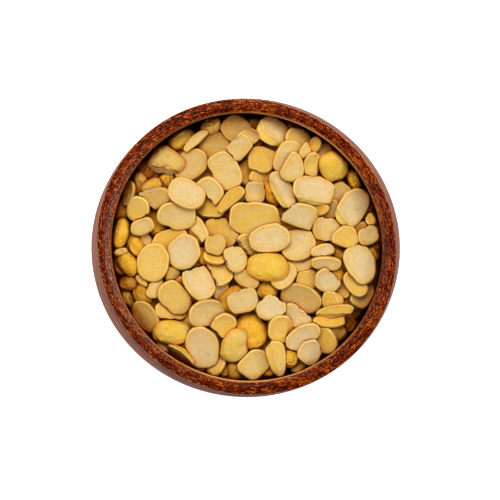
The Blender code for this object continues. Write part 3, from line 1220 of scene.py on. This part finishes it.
@dataclass
class SplitBean:
    """The shape of one half of a broad bean, before it is laid down.

    Its long way is X, its split face is up at height 0, and its outside hangs below as a full dome. Each
    range is what one of a bean's small differences is drawn from. Each jag or wave is its size and how fast
    it goes up and down.
    """

    bean: Bean
    detail: Detail
    chance: np.random.Generator
    corner_power: float = 2.35
    egg_range: tuple[float, float] = (-0.06, 0.06)
    bow_rest: float = 0.4
    worn_sides: tuple[int, int] = (1, 4)
    worn_range: tuple[float, float] = (0.03, 0.09)
    waves: tuple[tuple[int, float], ...] = ((2, 0.012), (3, 0.020), (4, 0.012), (5, 0.008), (7, 0.004))
    straightness: float = 0.85
    outline_steps: int = 720
    corner_rounding: int = 40
    edge_rounding: int = 10
    corner_care: float = 6.0
    bend_reach: int = 4
    notch_width: float = 1.1
    long_jag: tuple[float, float] = (0.20, 1.5)
    short_jag: tuple[float, float] = (0.11, 4.3)
    crease_wave: tuple[float, float] = (0.12, 1.3)
    swell: float = 0.34
    curl_range: tuple[float, float] = (-0.5, 0.9)
    dish_range: tuple[float, float] = (0.05, 0.4)
    face_range: tuple[float, float] = (0.06, 0.18)
    crumb_range: tuple[float, float] = (-0.16, 0.10)
    dome_crumbs: float = 0.25
    face_inset: float = 1.0
    face_warmth: tuple[float, float] = (0.2, 0.55)
    wall_shares: tuple[float, ...] = (0.33, 0.67)
    # How much of the bright line the sides get, a painted highlight
    wall_rim_highlight: float = 0.15
    edge_height: float = 0.6
    dome_power: float = 3.6
    dome_fullness: float = 1.7
    dome_hollows: float = 0.42
    hollow_waves: tuple[float, ...] = (4.5, 2.6, 1.5)
    hollow_stretch: float = 1.6
    hollow_sum: float = 1.9
    facet_drop: float = 1.0
    facet_ripe: float = 0.4
    # How much of the bright line the facets get, a painted highlight
    facet_rim_highlight: float = 0.2
    facet_paleness: float = 0.9

    def uncut(self) -> np.ndarray:
        """The outline of the whole half, seen from above.

        Returns:
            The points, anticlockwise.
        """
        turn = np.linspace(0, 2 * np.pi, self.outline_steps, endpoint=False)
        cos, sin = np.cos(turn), np.sin(turn)
        power = 2 / self.corner_power
        x = self.bean.long / 2 * np.sign(cos) * np.abs(cos) ** power
        y = self.bean.wide / 2 * np.sign(sin) * np.abs(sin) ** power
        y = y * (1 + (self.bean.egg + self.chance.uniform(*self.egg_range)) * cos)
        side = -1 if self.bean.face is DOME else 1
        y = y + side * self.bean.bow * (self.bow_rest - (x / (self.bean.long / 2)) ** 2)
        starts = [self.chance.uniform(0, 2 * np.pi) for _ in self.waves]
        wavy = sum(size * np.sin(count * turn + start) for (count, size), start in zip(self.waves, starts))
        points = np.stack([x, y], axis=1) * (1 + wavy)[:, None]
        for _ in range(self.chance.integers(*self.worn_sides)):
            normal = pointing(self.chance.uniform(0, 2 * np.pi))
            reach = (points @ normal).max()
            points = self.flattened(points, normal, reach * (1 - self.chance.uniform(*self.worn_range)))
        low, high = points.min(axis=0), points.max(axis=0)
        points = (points - (low + high) / 2) * np.array([self.bean.long, self.bean.wide]) / (high - low)
        for degrees, distance in self.bean.flats:
            points = self.flattened(points, pointing(self.local(degrees)), distance)
        points = smoothed(points, self.corner_rounding)
        degrees, depth = self.bean.notch
        reach = np.hypot(*points.T)
        off = wrapped(np.arctan2(points[:, 1], points[:, 0]) - self.local(degrees)) * reach
        return points * (1 - depth * hump(off, 0.0, self.notch_width + depth) / reach)[:, None]

    def flattened(self, points: np.ndarray, normal: np.ndarray, distance: float) -> np.ndarray:
        """Straightens one side of an outline.

        Args:
            points: The outline.
            normal: The direction that the side faces.
            distance: How far from the middle the side lies.

        Returns:
            The outline with that side almost straight.
        """
        over = np.maximum(points @ normal - distance, 0)
        return points - self.straightness * over[:, None] * normal

    def local(self, degrees: float) -> float:
        """Turns a direction in the photograph, in degrees, into one in the bean's own plane, in radians."""
        own = math.radians(degrees - self.bean.turn)
        return -own if self.bean.face is DOME else own

    def drawn_in(self, outline: np.ndarray, lines: Iterable[Line]) -> tuple[np.ndarray, np.ndarray]:
        """Draws an outline in to wavy lines that run across it.

        Args:
            outline: The outline before.
            lines: The lines.

        Returns:
            The outline after, and for each point whether it lies on a line.
        """
        points = outline
        on_line = np.zeros(len(points))
        for degrees, distance, waves in lines:
            normal = pointing(self.local(degrees))
            along = points @ np.array([-normal[1], normal[0]])
            wavy = sum(size * np.sin(along * pace + start) for size, pace, start in waves)
            over = np.maximum(points @ normal - (distance + wavy), 0)
            on_line = np.where(over > 0, 1.0, on_line)
            points = points - over[:, None] * normal
        return points, on_line

    def edges(self, whole: np.ndarray) -> tuple[np.ndarray, np.ndarray, np.ndarray, np.ndarray]:
        """The outline of the split face and that of the outside, with more points where it turns sharply.

        Args:
            whole: The outline of the whole half.

        Returns:
            The two outlines, and how much each point lies on a break and on a crease.
        """
        starts = self.chance.uniform(0, 6, (len(self.bean.cuts), 2))
        jagged = [
            (degrees, distance, ((*self.long_jag, first), (*self.short_jag, second)))
            for (degrees, distance), (first, second) in zip(self.bean.cuts, starts)
        ]
        slants = (self.bean.slant, 0.0) if self.bean.face is DOME else (0.0, self.bean.slant)
        (face, on_break), (outside, _) = (
            self.drawn_in(whole, [(degrees, distance + out, waves) for degrees, distance, waves in jagged])
            for out in slants
        )
        creases = [(side, distance, ((*self.crease_wave, distance),)) for side, distance in self.bean.facets]
        face, on_crease = self.drawn_in(face, creases)
        values = np.column_stack([face, outside, on_break, on_crease])
        values = np.concatenate([values, values[:1]])
        length = np.concatenate([[0], np.cumsum(np.hypot(*np.diff(values[:, :2], axis=0).T))])
        step = np.arange(self.outline_steps + 1)
        fine = np.interp(np.linspace(0, length[-1], self.outline_steps, endpoint=False), length, step)
        even = np.column_stack([np.interp(fine, step, column) for column in values.T])
        even = smoothed(even, self.edge_rounding)
        ahead, behind = (np.roll(even[:, :2], reach, axis=0) for reach in (-self.bend_reach, self.bend_reach))
        heading = np.arctan2(*(ahead - behind).T[::-1])
        bend = np.abs(wrapped(np.roll(heading, -self.bend_reach) - np.roll(heading, self.bend_reach)))
        weight = np.cumsum(1 + self.corner_care * bend)
        wanted = (np.arange(self.detail.around) + 0.5) / self.detail.around
        picked = even[np.searchsorted(weight / weight[-1], wanted)]
        return picked[:, :2], picked[:, 2:4], picked[:, 4], picked[:, 5]

    def depth(self, points: np.ndarray, whole: np.ndarray) -> np.ndarray:
        """How far the outside lies below the split face.

        Args:
            points: Places in the bean's plane.
            whole: The outline of the whole half.

        Returns:
            The depth at each place.
        """
        turn = np.arctan2(whole[:, 1], whole[:, 0])
        order = np.argsort(turn)
        at = np.arctan2(points[:, 1], points[:, 0])
        reach = np.interp(at, turn[order], np.hypot(*whole[order].T), period=2 * np.pi)
        share = np.clip(np.hypot(*points.T) / reach, 0, 1)
        full = (1 - share**self.dome_power) ** (1 / self.dome_fullness)
        return self.edge_height + (self.bean.thick - self.edge_height) * full

    def unevenness(self, points: np.ndarray, size: float) -> np.ndarray:
        """Gentle hollows and swellings.

        Args:
            points: Places in the bean's plane.
            size: About how high they are.

        Returns:
            The height at each place.
        """
        total = np.zeros(len(points))
        for wave in self.hollow_waves:
            across = pointing(self.chance.uniform(0, 2 * np.pi)) * 2 * np.pi / wave / self.hollow_stretch
            total += np.sin(points @ across + self.chance.uniform(0, 6)) * wave / self.hollow_waves[0]
        return total * size / self.hollow_sum

    def shell(self) -> Shell:
        """Makes the half or the piece of one.

        Returns:
            Its closed shell, with all marks but tan, and how much riper than the bean each point is.
        """
        whole = self.uncut()
        edge, outside, on_break, on_crease = self.edges(whole)
        middle = edge.mean(axis=0)
        inward = middle - edge
        inward /= np.hypot(*inward.T)[:, None]
        natural = 1 - on_break
        swollen = inward * (self.swell * natural)[:, None]
        if self.bean.face is DOME:
            edge = edge + swollen
        else:
            outside = outside - swollen * (1 - on_crease)[:, None]
        rings = BeanRings(self.bean.long, self.chance.uniform(*self.curl_range))
        dish = self.chance.uniform(*self.dish_range)
        face_wave = self.chance.uniform(*self.face_range)

        inner = edge + inward * self.face_inset
        reach = np.hypot(*(inner - middle).T)
        flat_rings = [middle + (inner - middle) * share for share in self.detail.face_shares[::-1]] + [inner]
        sample = np.concatenate([middle[None, :], *flat_rings, edge + inward * EDGE_RINGS[0].inset])
        sunk = self.unevenness(sample, face_wave)
        sunk -= dish * np.clip(1 - (np.hypot(*(sample - middle).T) / reach.mean()) ** 2, 0, 1)
        *levels, edge_level = np.split(sunk[1:], len(flat_rings) + 1)
        warmth = [0.0] * (len(flat_rings) - len(self.face_warmth)) + [*self.face_warmth]
        for points, level, warm in zip(flat_rings, levels, warmth):
            rings.add(points, level, warm=warm * natural)
        for ring in EDGE_RINGS:
            rings.add(
                edge + inward * ring.inset,
                ring.height + ring.rise * natural + ring.follows * edge_level,
                skin=ring.skin * natural,
                rim=ring.rim * natural,
                warm=ring.warm * natural,
            )

        top = EDGE_RINGS[-1].height + EDGE_RINGS[-1].rise * natural
        foot = self.depth(outside, whole) + self.facet_drop * on_crease
        # The sides are painted orange as shade, less where they are facets
        orange = natural * (1 - self.facet_paleness * on_crease)
        ripe = self.facet_ripe * on_crease
        crumbly = self.dome_crumbs if self.bean.face is DOME else 1.0
        for share in self.wall_shares:
            rough = on_break * self.chance.uniform(*self.crumb_range, len(edge)) * crumbly
            points = edge + (outside - edge) * share + inward * rough[:, None]
            height = top - (foot + top) * share
            # The sides and facets get some of the bright line, painted as a highlight
            rim = self.wall_rim_highlight * natural + self.facet_rim_highlight * on_crease
            rings.add(points, height, skin=natural, rim=rim, broken=on_break, warm=orange, ripe=ripe)
        rim = self.facet_rim_highlight * on_crease
        rings.add(outside, -foot, skin=natural, rim=rim, broken=0.5 * on_break, warm=orange, ripe=ripe)
        # The outside turns more orange towards its outline, partly its own colour and partly painted shade
        for share in self.detail.dome_shares:
            points = middle + (outside - middle) * share
            below = self.depth(points, whole) + self.unevenness(points, self.dome_hollows)
            rings.add(points, -np.maximum(below, foot * share), skin=1.0, warm=share**6)
        return rings.closed(middle, sunk[0], -self.depth(middle[None, :], whole)[0])


def turned_about(points: np.ndarray, axis: int, degrees: float) -> np.ndarray:
    """Turns points about one of the axes.

    Args:
        points: The points.
        axis: 0, 1 or 2 for X, Y or Z.
        degrees: How far, by the right hand.

    Returns:
        The turned points.
    """
    first, second = (axis + 1) % 3, (axis + 2) % 3
    cos, sin = math.cos(math.radians(degrees)), math.sin(math.radians(degrees))
    moved = points.copy()
    moved[:, first] = points[:, first] * cos - points[:, second] * sin
    moved[:, second] = points[:, first] * sin + points[:, second] * cos
    return moved


@dataclass
class Pile:
    """The top of the heap while the bowl fills, as a grid of heights.

    A bean rests on the middle share of its width and length, given by contact_share, because its thin edge
    sinks in between the others. tip_cost is what a tip costs against lying lower.
    """

    bowl: TurnedBowl
    reach: float = 57.0
    step: float = 0.4
    wall_gap: float = 0.15
    contact_share: float = 0.93
    contact_points: int = 300
    tip_cost: float = 4.0
    tip_rounds: int = 4
    tip_trials: int = 7
    inside_rounds: int = 12
    level_margin: float = 3.0

    def __post_init__(self) -> None:
        """Starts with the empty hollow."""
        self.count = int(2 * self.reach / self.step) + 1
        line = np.linspace(-self.reach, self.reach, self.count)
        self.radius = np.hypot(*np.meshgrid(line, line))
        self.top = self.bowl.floor_under(self.radius)

    def cells(self, x: np.ndarray, y: np.ndarray) -> tuple[np.ndarray, np.ndarray]:
        """Finds places on the grid.

        Args:
            x: How far right each place lies.
            y: How far up the photograph.

        Returns:
            The grid's rows and its columns for them.
        """
        column, row = (
            np.clip(np.rint((place + self.reach) / self.step), 0, self.count - 1).astype(int)
            for place in (x, y)
        )
        return row, column

    def under(self, points: np.ndarray, x: float, y: float) -> np.ndarray:
        """How far above each point of a bean, moved to this place, the top of the heap lies."""
        return self.top[self.cells(points[:, 0] + x, points[:, 1] + y)] - points[:, 2]

    def inside(self, points: np.ndarray, x: float, y: float, height: float) -> tuple[float, float]:
        """Moves a bean in from the wall until it fits.

        Args:
            points: The bean round its middle.
            x: The middle's place.
            y: The middle's place, up the photograph.
            height: About how high the bean will lie.

        Returns:
            The middle's new place.
        """
        radius = float(self.bowl.inner_radius(np.array(height)))
        for _ in range(self.inside_rounds):
            away = np.hypot(points[:, 0] + x, points[:, 1] + y)
            turn = np.arctan2(points[:, 1] + y, points[:, 0] + x)
            limit = radius * self.bowl.stretch(turn, self.bowl.mouth_skew) - self.wall_gap
            most = int(np.argmax(away - limit))
            over = away[most] - limit[most]
            if over <= 0:
                break
            x -= over * (points[most, 0] + x) / away[most]
            y -= over * (points[most, 1] + y) / away[most]
        return x, y

    def settle(self, points: np.ndarray, x: float, y: float, tip_deg: float) -> np.ndarray:
        """Lowers a bean until it rests, tipping it to where it lies lowest.

        Args:
            points: The bean round its middle.
            x: The middle's place.
            y: The middle's place, up the photograph.
            tip_deg: How far it may tip.

        Returns:
            The bean's points where it rests.
        """
        tip_x, tip_y = 0.0, 0.0
        reach = math.tan(math.radians(tip_deg))
        spread = reach
        shrink = [self.contact_share, self.contact_share, 1.0]
        contact = points[:: max(1, len(points) // self.contact_points)] * shrink
        under = self.under(contact, x, y)
        for _ in range(self.tip_rounds):
            trial = np.linspace(-spread, spread, self.tip_trials)
            along, across = (tip.ravel() for tip in np.meshgrid(trial + tip_x, trial + tip_y))
            along, across = np.clip(along, -reach, reach), np.clip(across, -reach, reach)
            lift = under[:, None] - np.outer(contact[:, 0], along) - np.outer(contact[:, 1], across)
            best = int(np.argmin(lift.max(axis=0) + self.tip_cost * (along**2 + across**2)))
            tip_x, tip_y = float(along[best]), float(across[best])
            spread /= 3
        laid = turned_about(points, 1, -math.degrees(math.atan(tip_x)))
        laid = turned_about(laid, 0, math.degrees(math.atan(tip_y)))
        return laid + [x, y, self.under(laid * shrink, x, y).max()]

    def cover(self, shell: Shell) -> None:
        """Raises the grid to the top of a bean that has been laid down.

        Args:
            shell: The bean.
        """
        corners = shell.points
        quads = np.array([face for face in shell.faces if len(face) == 4])
        middles = corners[quads].mean(axis=1)
        halves = (corners[quads] + corners[np.roll(quads, 1, axis=1)]).reshape(-1, 3) / 2
        for points in (corners, middles, halves):
            np.maximum.at(self.top, self.cells(points[:, 0], points[:, 1]), points[:, 2])

    def level(self) -> float:
        """The mean height of the heap away from the wall."""
        return float(self.top[self.radius < self.bowl.mouth_radius - self.level_margin].mean())


@dataclass
class BeanHeap:
    """All the beans in the bowl.

    The layers are the beans that show, with about how high each layer's top lies in the middle of the bowl
    and how far its beans may tip. A bean sinks by give into what it lies on, or more if it lies too high.
    The fillers are loose beans that are put under one that would lie too low.
    """

    bowl: TurnedBowl
    photograph: Photograph
    seed: int = 11
    core_height: float = 30.0
    core_gap: float = 0.8
    core_dome: float = 2.0
    core_shares: tuple[float, float] = (0.96, 0.05)
    core_rings: int = 20
    core_around: int = 96
    core_ripple: float = 0.5
    ripple_pace: tuple[float, float] = (0.8, 0.9)
    bed_level: float = 34.2
    bed_limit: int = 260
    bed_tries: int = 10
    bed_margin: float = 7.0
    bed_long: float = 12.5
    bed_wide: float = 9.5
    bed_tip_deg: float = 34.0
    filler_share: float = 0.8
    filler_long: float = 11.0
    filler_wide: float = 8.0
    filler_tries: int = 4
    filler_limit: int = 4
    filler_gap: float = 2.0
    filler_spread: float = 1.5
    size_range: tuple[float, float] = (0.85, 1.15)
    ripe_range: tuple[float, float] = (-0.08, 0.08)
    tan_range: tuple[float, float] = (-0.06, 0.06)
    surface_rise: float = 1.6
    give: float = 0.5
    most_give: float = 1.3
    held_tilt: float = 8.0
    held_tip_deg: float = 4.0
    steep_tilt: float = 40.0
    steep_give: float = 3.0
    small_long: float = 8.5
    layers: tuple[tuple[tuple[Bean, ...], float, float], ...] = (
        (LOW_BEANS, 43.8, 24.0),
        (MIDDLE_BEANS, 45.3, 18.0),
        (TOP_BEANS, 47.0, 15.0),
    )

    def __post_init__(self) -> None:
        """Starts with an empty bowl and a fixed order of chances."""
        self.chance = np.random.default_rng(self.seed)
        self.pile = Pile(self.bowl)
        names = ("bed_beans", "halves_face_up", "halves_dome_up", "broken_halves", "small_pieces")
        self.kinds: dict[str, list[Shell]] = {name: [] for name in names}

    def core(self, finish: bpy.types.Material) -> bpy.types.Object:
        """Makes the core under the beans, a low dome on the bowl's floor.

        Args:
            finish: Its finish.

        Returns:
            The piece, which stands for the CAD model's heap.
        """
        wall = [p for p in self.bowl.inner_wall() if p[1] < self.core_height - self.core_dome][::-1]
        against = [(max(r - self.core_gap, 1.0), h + self.core_gap) for r, h in wall]
        edge = against[-1][0]
        shares = np.linspace(*self.core_shares, self.core_rings)
        over = [(edge * s, self.core_height - self.core_dome * s**2) for s in shares]
        shell = self.bowl.turned(against + over, self.core_around)
        x, y, z = shell.points.T
        ripples = self.core_ripple * np.sin(x * self.ripple_pace[0]) * np.sin(y * self.ripple_pace[1])
        shell.points[:, 2] += np.where(z > self.core_height - 2 * self.core_dome, ripples, 0)
        # The core is painted fully ripe and fully brown, as the shade deep in the heap
        shell.marks = {name: np.full(len(x), float(name in ("tan", "ripe"))) for name in BEAN_MARKS}
        self.pile.cover(shell)
        return self.finished("bean_core", shell, finish)

    def shaped(self, bean: Bean, detail: Detail, chance: np.random.Generator) -> Shell:
        """Makes one bean round its middle, turned as it lies, with its colour.

        Args:
            bean: The bean.
            detail: How finely it is made.
            chance: Where its small differences come from.

        Returns:
            Its shell with all its marks.
        """
        shell = SplitBean(bean, detail, chance).shell()
        points = shell.points + [0, 0, bean.thick / 2]
        over = 180 if bean.face is DOME else 0
        for axis, degrees in ((0, over), (0, bean.roll), (1, bean.pitch), (2, bean.turn)):
            points = turned_about(points, axis, degrees)
        shell.points = points
        ripe, tan = bean.tone.value
        # The brown side is shade painted darker and browner across the bean
        side, more = bean.brown
        share = np.clip(points[:, :2] @ pointing(math.radians(side)) / (bean.wide / 2), 0, 1)
        shell.marks["ripe"] += ripe + chance.uniform(*self.ripe_range)
        shell.marks["tan"] = np.clip(tan + chance.uniform(*self.tan_range) + more * share, 0, 1)
        return shell

    def loose(self, long: float, wide: float, tones: tuple[Tone, ...]) -> Bean:
        """Draws a bean that lies anyhow.

        Args:
            long: About how long it is.
            wide: About how wide it is.
            tones: The colours it may have.

        Returns:
            The bean.
        """
        return Bean(
            px=0,
            py=0,
            long=long * self.chance.uniform(*self.size_range),
            wide=wide * self.chance.uniform(*self.size_range),
            turn=self.chance.uniform(0, 360),
            face=FLAT if self.chance.uniform() < 0.5 else DOME,
            tone=tones[self.chance.integers(len(tones))],
        )

    def bed_bean(self, places: np.ndarray, long: float, wide: float, tones: tuple[Tone, ...]) -> None:
        """Lays a loose bean at the place where it comes to lie lowest.

        Args:
            places: The places it may go to.
            long: About how long it is.
            wide: About how wide it is.
            tones: The colours it may have.
        """
        best = None
        for x, y in places:
            shell = self.shaped(self.loose(long, wide, tones), PLAIN, self.chance)
            place = self.pile.inside(shell.points, x, y, self.pile.level())
            shell.points = self.pile.settle(shell.points, *place, self.bed_tip_deg)
            if best is None or shell.points[:, 2].max() < best.points[:, 2].max():
                best = shell
        best.points[:, 2] -= self.give
        self.pile.cover(best)
        self.kinds["bed_beans"].append(best)

    def fill(self) -> None:
        """Drops loose halves into the lowest places until the bed has its level."""
        for _ in range(self.bed_limit):
            if self.pile.level() > self.bed_level:
                break
            widest = self.bowl.hollow_radius - self.bed_margin
            out = widest * np.sqrt(self.chance.uniform(0, 1, self.bed_tries))
            turn = self.chance.uniform(0, 2 * np.pi, self.bed_tries)
            places = np.column_stack([out * np.cos(turn), out * np.sin(turn)])
            self.bed_bean(places, self.bed_long, self.bed_wide, (STRAW, GOLD, AMBER, OCHRE))

    def kind(self, bean: Bean) -> str:
        """Sorts a bean that shows into a piece.

        Args:
            bean: The bean.

        Returns:
            The piece's name.
        """
        if bean.long < self.small_long:
            return "small_pieces"
        if bean.cuts:
            return "broken_halves"
        return "halves_face_up" if bean.face is FLAT else "halves_dome_up"

    def lay(self, bean: Bean, surface: float, tip_deg: float) -> None:
        """Lays one of the beans that show, with loose beans under it where the bed is too low.

        Args:
            bean: The bean.
            surface: About how high its top should come to lie in the middle of the bowl.
            tip_deg: How far it may tip as it comes to rest.
        """
        own_chance = np.random.default_rng((self.seed, round(bean.px), round(bean.py)))
        shell = self.shaped(bean, FINE_FACE if bean.face is FLAT else FINE_DOME, own_chance)
        place = self.photograph.place(bean.px, bean.py)
        place = self.pile.inside(shell.points, *place, height=surface)
        goal = surface - self.surface_rise * (np.hypot(*place) / self.bowl.mouth_radius) ** 2
        tilt = abs(bean.roll) + abs(bean.pitch)
        tip_deg = tip_deg if tilt < self.held_tilt else self.held_tip_deg
        most_give = self.most_give if tilt < self.steep_tilt else self.steep_give
        filler_long = min(bean.long * self.filler_share, self.filler_long)
        filler_wide = min(bean.wide * self.filler_share, self.filler_wide)
        laid = self.pile.settle(shell.points, *place, tip_deg)
        for _ in range(self.filler_limit):
            if laid[:, 2].max() > goal - self.filler_gap:
                break
            spread = self.chance.uniform(-self.filler_spread, self.filler_spread, (self.filler_tries, 2))
            places = np.array(place) + spread
            self.bed_bean(places, filler_long, filler_wide, (AMBER, OCHRE))
            laid = self.pile.settle(shell.points, *place, tip_deg)
        over = float(laid[:, 2].max() - goal)
        laid[:, 2] -= float(np.clip(self.give + over / 2, self.give, most_give))
        shell.points = laid
        self.pile.cover(shell)
        self.kinds[self.kind(bean)].append(shell)

    def finished(self, name: str, shell: Shell, finish: bpy.types.Material) -> bpy.types.Object:
        """Makes one piece of the heap and ties it to the frame.

        Args:
            name: The piece's name.
            shell: Its points, faces and marks.
            finish: Its finish.

        Returns:
            The piece.
        """
        piece = make_piece(name, shell, finish, sharp_deg=48)
        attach(piece, "root")
        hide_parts("bean_heap")
        return piece

    def build(self, finish: bpy.types.Material) -> list[bpy.types.Object]:
        """Fills the bowl.

        Args:
            finish: The beans' finish.

        Returns:
            The core and one piece for each kind of bean.
        """
        core = self.core(finish)
        self.fill()
        LOG.info("bed of %d beans, level %.1f mm", len(self.kinds["bed_beans"]), self.pile.level())
        for beans, surface, tip_deg in self.layers:
            for bean in beans:
                self.lay(bean, surface, tip_deg)
            LOG.info("layer of %d beans laid, level %.1f mm", len(beans), self.pile.level())
        return [core] + [self.finished(kind, joined(shells), finish) for kind, shells in self.kinds.items()]


@dataclass
class Studio:
    """The white table, the lights round it and the camera. Lengths are in metres.

    Each light is its name, its place, its side and its power in watts.
    """

    camera_distance: float = 0.90
    camera_elevation_deg: float = 87.9
    camera_side_deg: float = 45.0
    picture_px: int = 500
    pixel_at_rim: float = 0.00039
    sensor: float = 36.0
    camera_aim: tuple[float, float, float] = (0.00113, -0.00131, 0.052)
    light_aim: tuple[float, float, float] = (0.0, 0.0, 0.04)
    lights: tuple[tuple[str, tuple[float, float, float], float, float], ...] = (
        ("key", (-0.1, 0.72, 1.28), 0.8, 14.5),
        ("left", (-1.1, 0.0, 0.9), 0.7, 4.5),
        ("right", (1.1, 0.0, 0.9), 0.7, 5.7),
    )
    room_light: float = 0.18
    table_radius: float = 2.5
    table_around: int = 96
    table_drop: float = 0.0002

    def table(self) -> None:
        """Makes the table top as one large round sheet, a hair below height 0."""
        turn = np.linspace(0, 2 * np.pi, self.table_around, endpoint=False)
        sheet = np.column_stack([np.cos(turn), np.sin(turn), np.zeros(self.table_around)])
        points = np.concatenate([sheet * self.table_radius / MM, [[0, 0, 0]]])
        shell = Shell(points, cap_faces(0, self.table_around, self.table_around, flip=False))
        table = make_piece("table_top", shell, WhiteTable().material(), sharp_deg=30)
        table.location.z = -self.table_drop

    def light(self, name: str, place: tuple[float, float, float], size: float, power: float) -> None:
        """Hangs one square soft light that points at the bowl.

        Args:
            name: Its name.
            place: Where it hangs.
            size: Its side.
            power: Its power in watts.
        """
        data = bpy.data.lights.new(name, "AREA")
        data.shape = "SQUARE"
        data.size = size
        data.energy = power
        lamp = bpy.data.objects.new(name, data)
        lamp.location = place
        lamp.rotation_euler = (Vector(self.light_aim) - Vector(place)).to_track_quat("-Z", "Y").to_euler()
        bpy.context.scene.collection.objects.link(lamp)

    def sky(self) -> None:
        """Sets the room's own soft light."""
        world = bpy.data.worlds.new("studio")
        bpy.context.scene.world = world
        world.use_nodes = True
        tree = world.node_tree
        tree.nodes.clear()
        back = add_node(tree, "Background", inputs={"Color": linear("FFFFFF"), "Strength": self.room_light})
        add_node(tree, "OutputWorld", inputs={"Surface": back.outputs[0]})

    def camera(self) -> None:
        """Places the camera where the photograph was taken from."""
        data = bpy.data.cameras.new("camera")
        data.sensor_width = self.sensor
        data.lens = self.sensor * self.camera_distance / (self.pixel_at_rim * self.picture_px)
        camera = bpy.data.objects.new("camera", data)
        tilt = math.radians(self.camera_elevation_deg)
        side = math.radians(self.camera_side_deg)
        level = math.cos(tilt)
        back = Vector((-level * math.sin(side), -level * math.cos(side), math.sin(tilt)))
        camera.location = Vector(self.camera_aim) + back * self.camera_distance
        right = Vector((0, 1, 0)).cross(back).normalized()
        camera.rotation_euler = Matrix((right, back.cross(right), back)).transposed().to_euler()
        bpy.context.scene.collection.objects.link(camera)
        bpy.context.scene.camera = camera

    def build(self) -> None:
        """Sets up everything that isn't the object."""
        self.table()
        self.sky()
        for light in self.lights:
            self.light(*light)
        self.camera()
        bpy.context.scene.view_settings.view_transform = "Standard"
        bpy.context.scene.view_settings.look = "None"


def corners(bounds: tuple[Vector, Vector]) -> list[list[float]]:
    """A box's two corners as plain lists."""
    return [list(corner) for corner in bounds]


def main() -> None:
    """Builds the object and the studio."""
    logging.basicConfig(level=logging.INFO, format="%(message)s")
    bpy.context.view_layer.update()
    bowl = TurnedBowl()
    pieces = [bowl.build(LacqueredHardwood().material())]
    pieces += BeanHeap(bowl, Photograph()).build(HulledBroadBean().material())
    for piece in pieces:
        LOG.info("%s: %d faces", piece.name, len(piece.data.polygons))
    Studio().build()


if __name__ == "__main__":
    main()
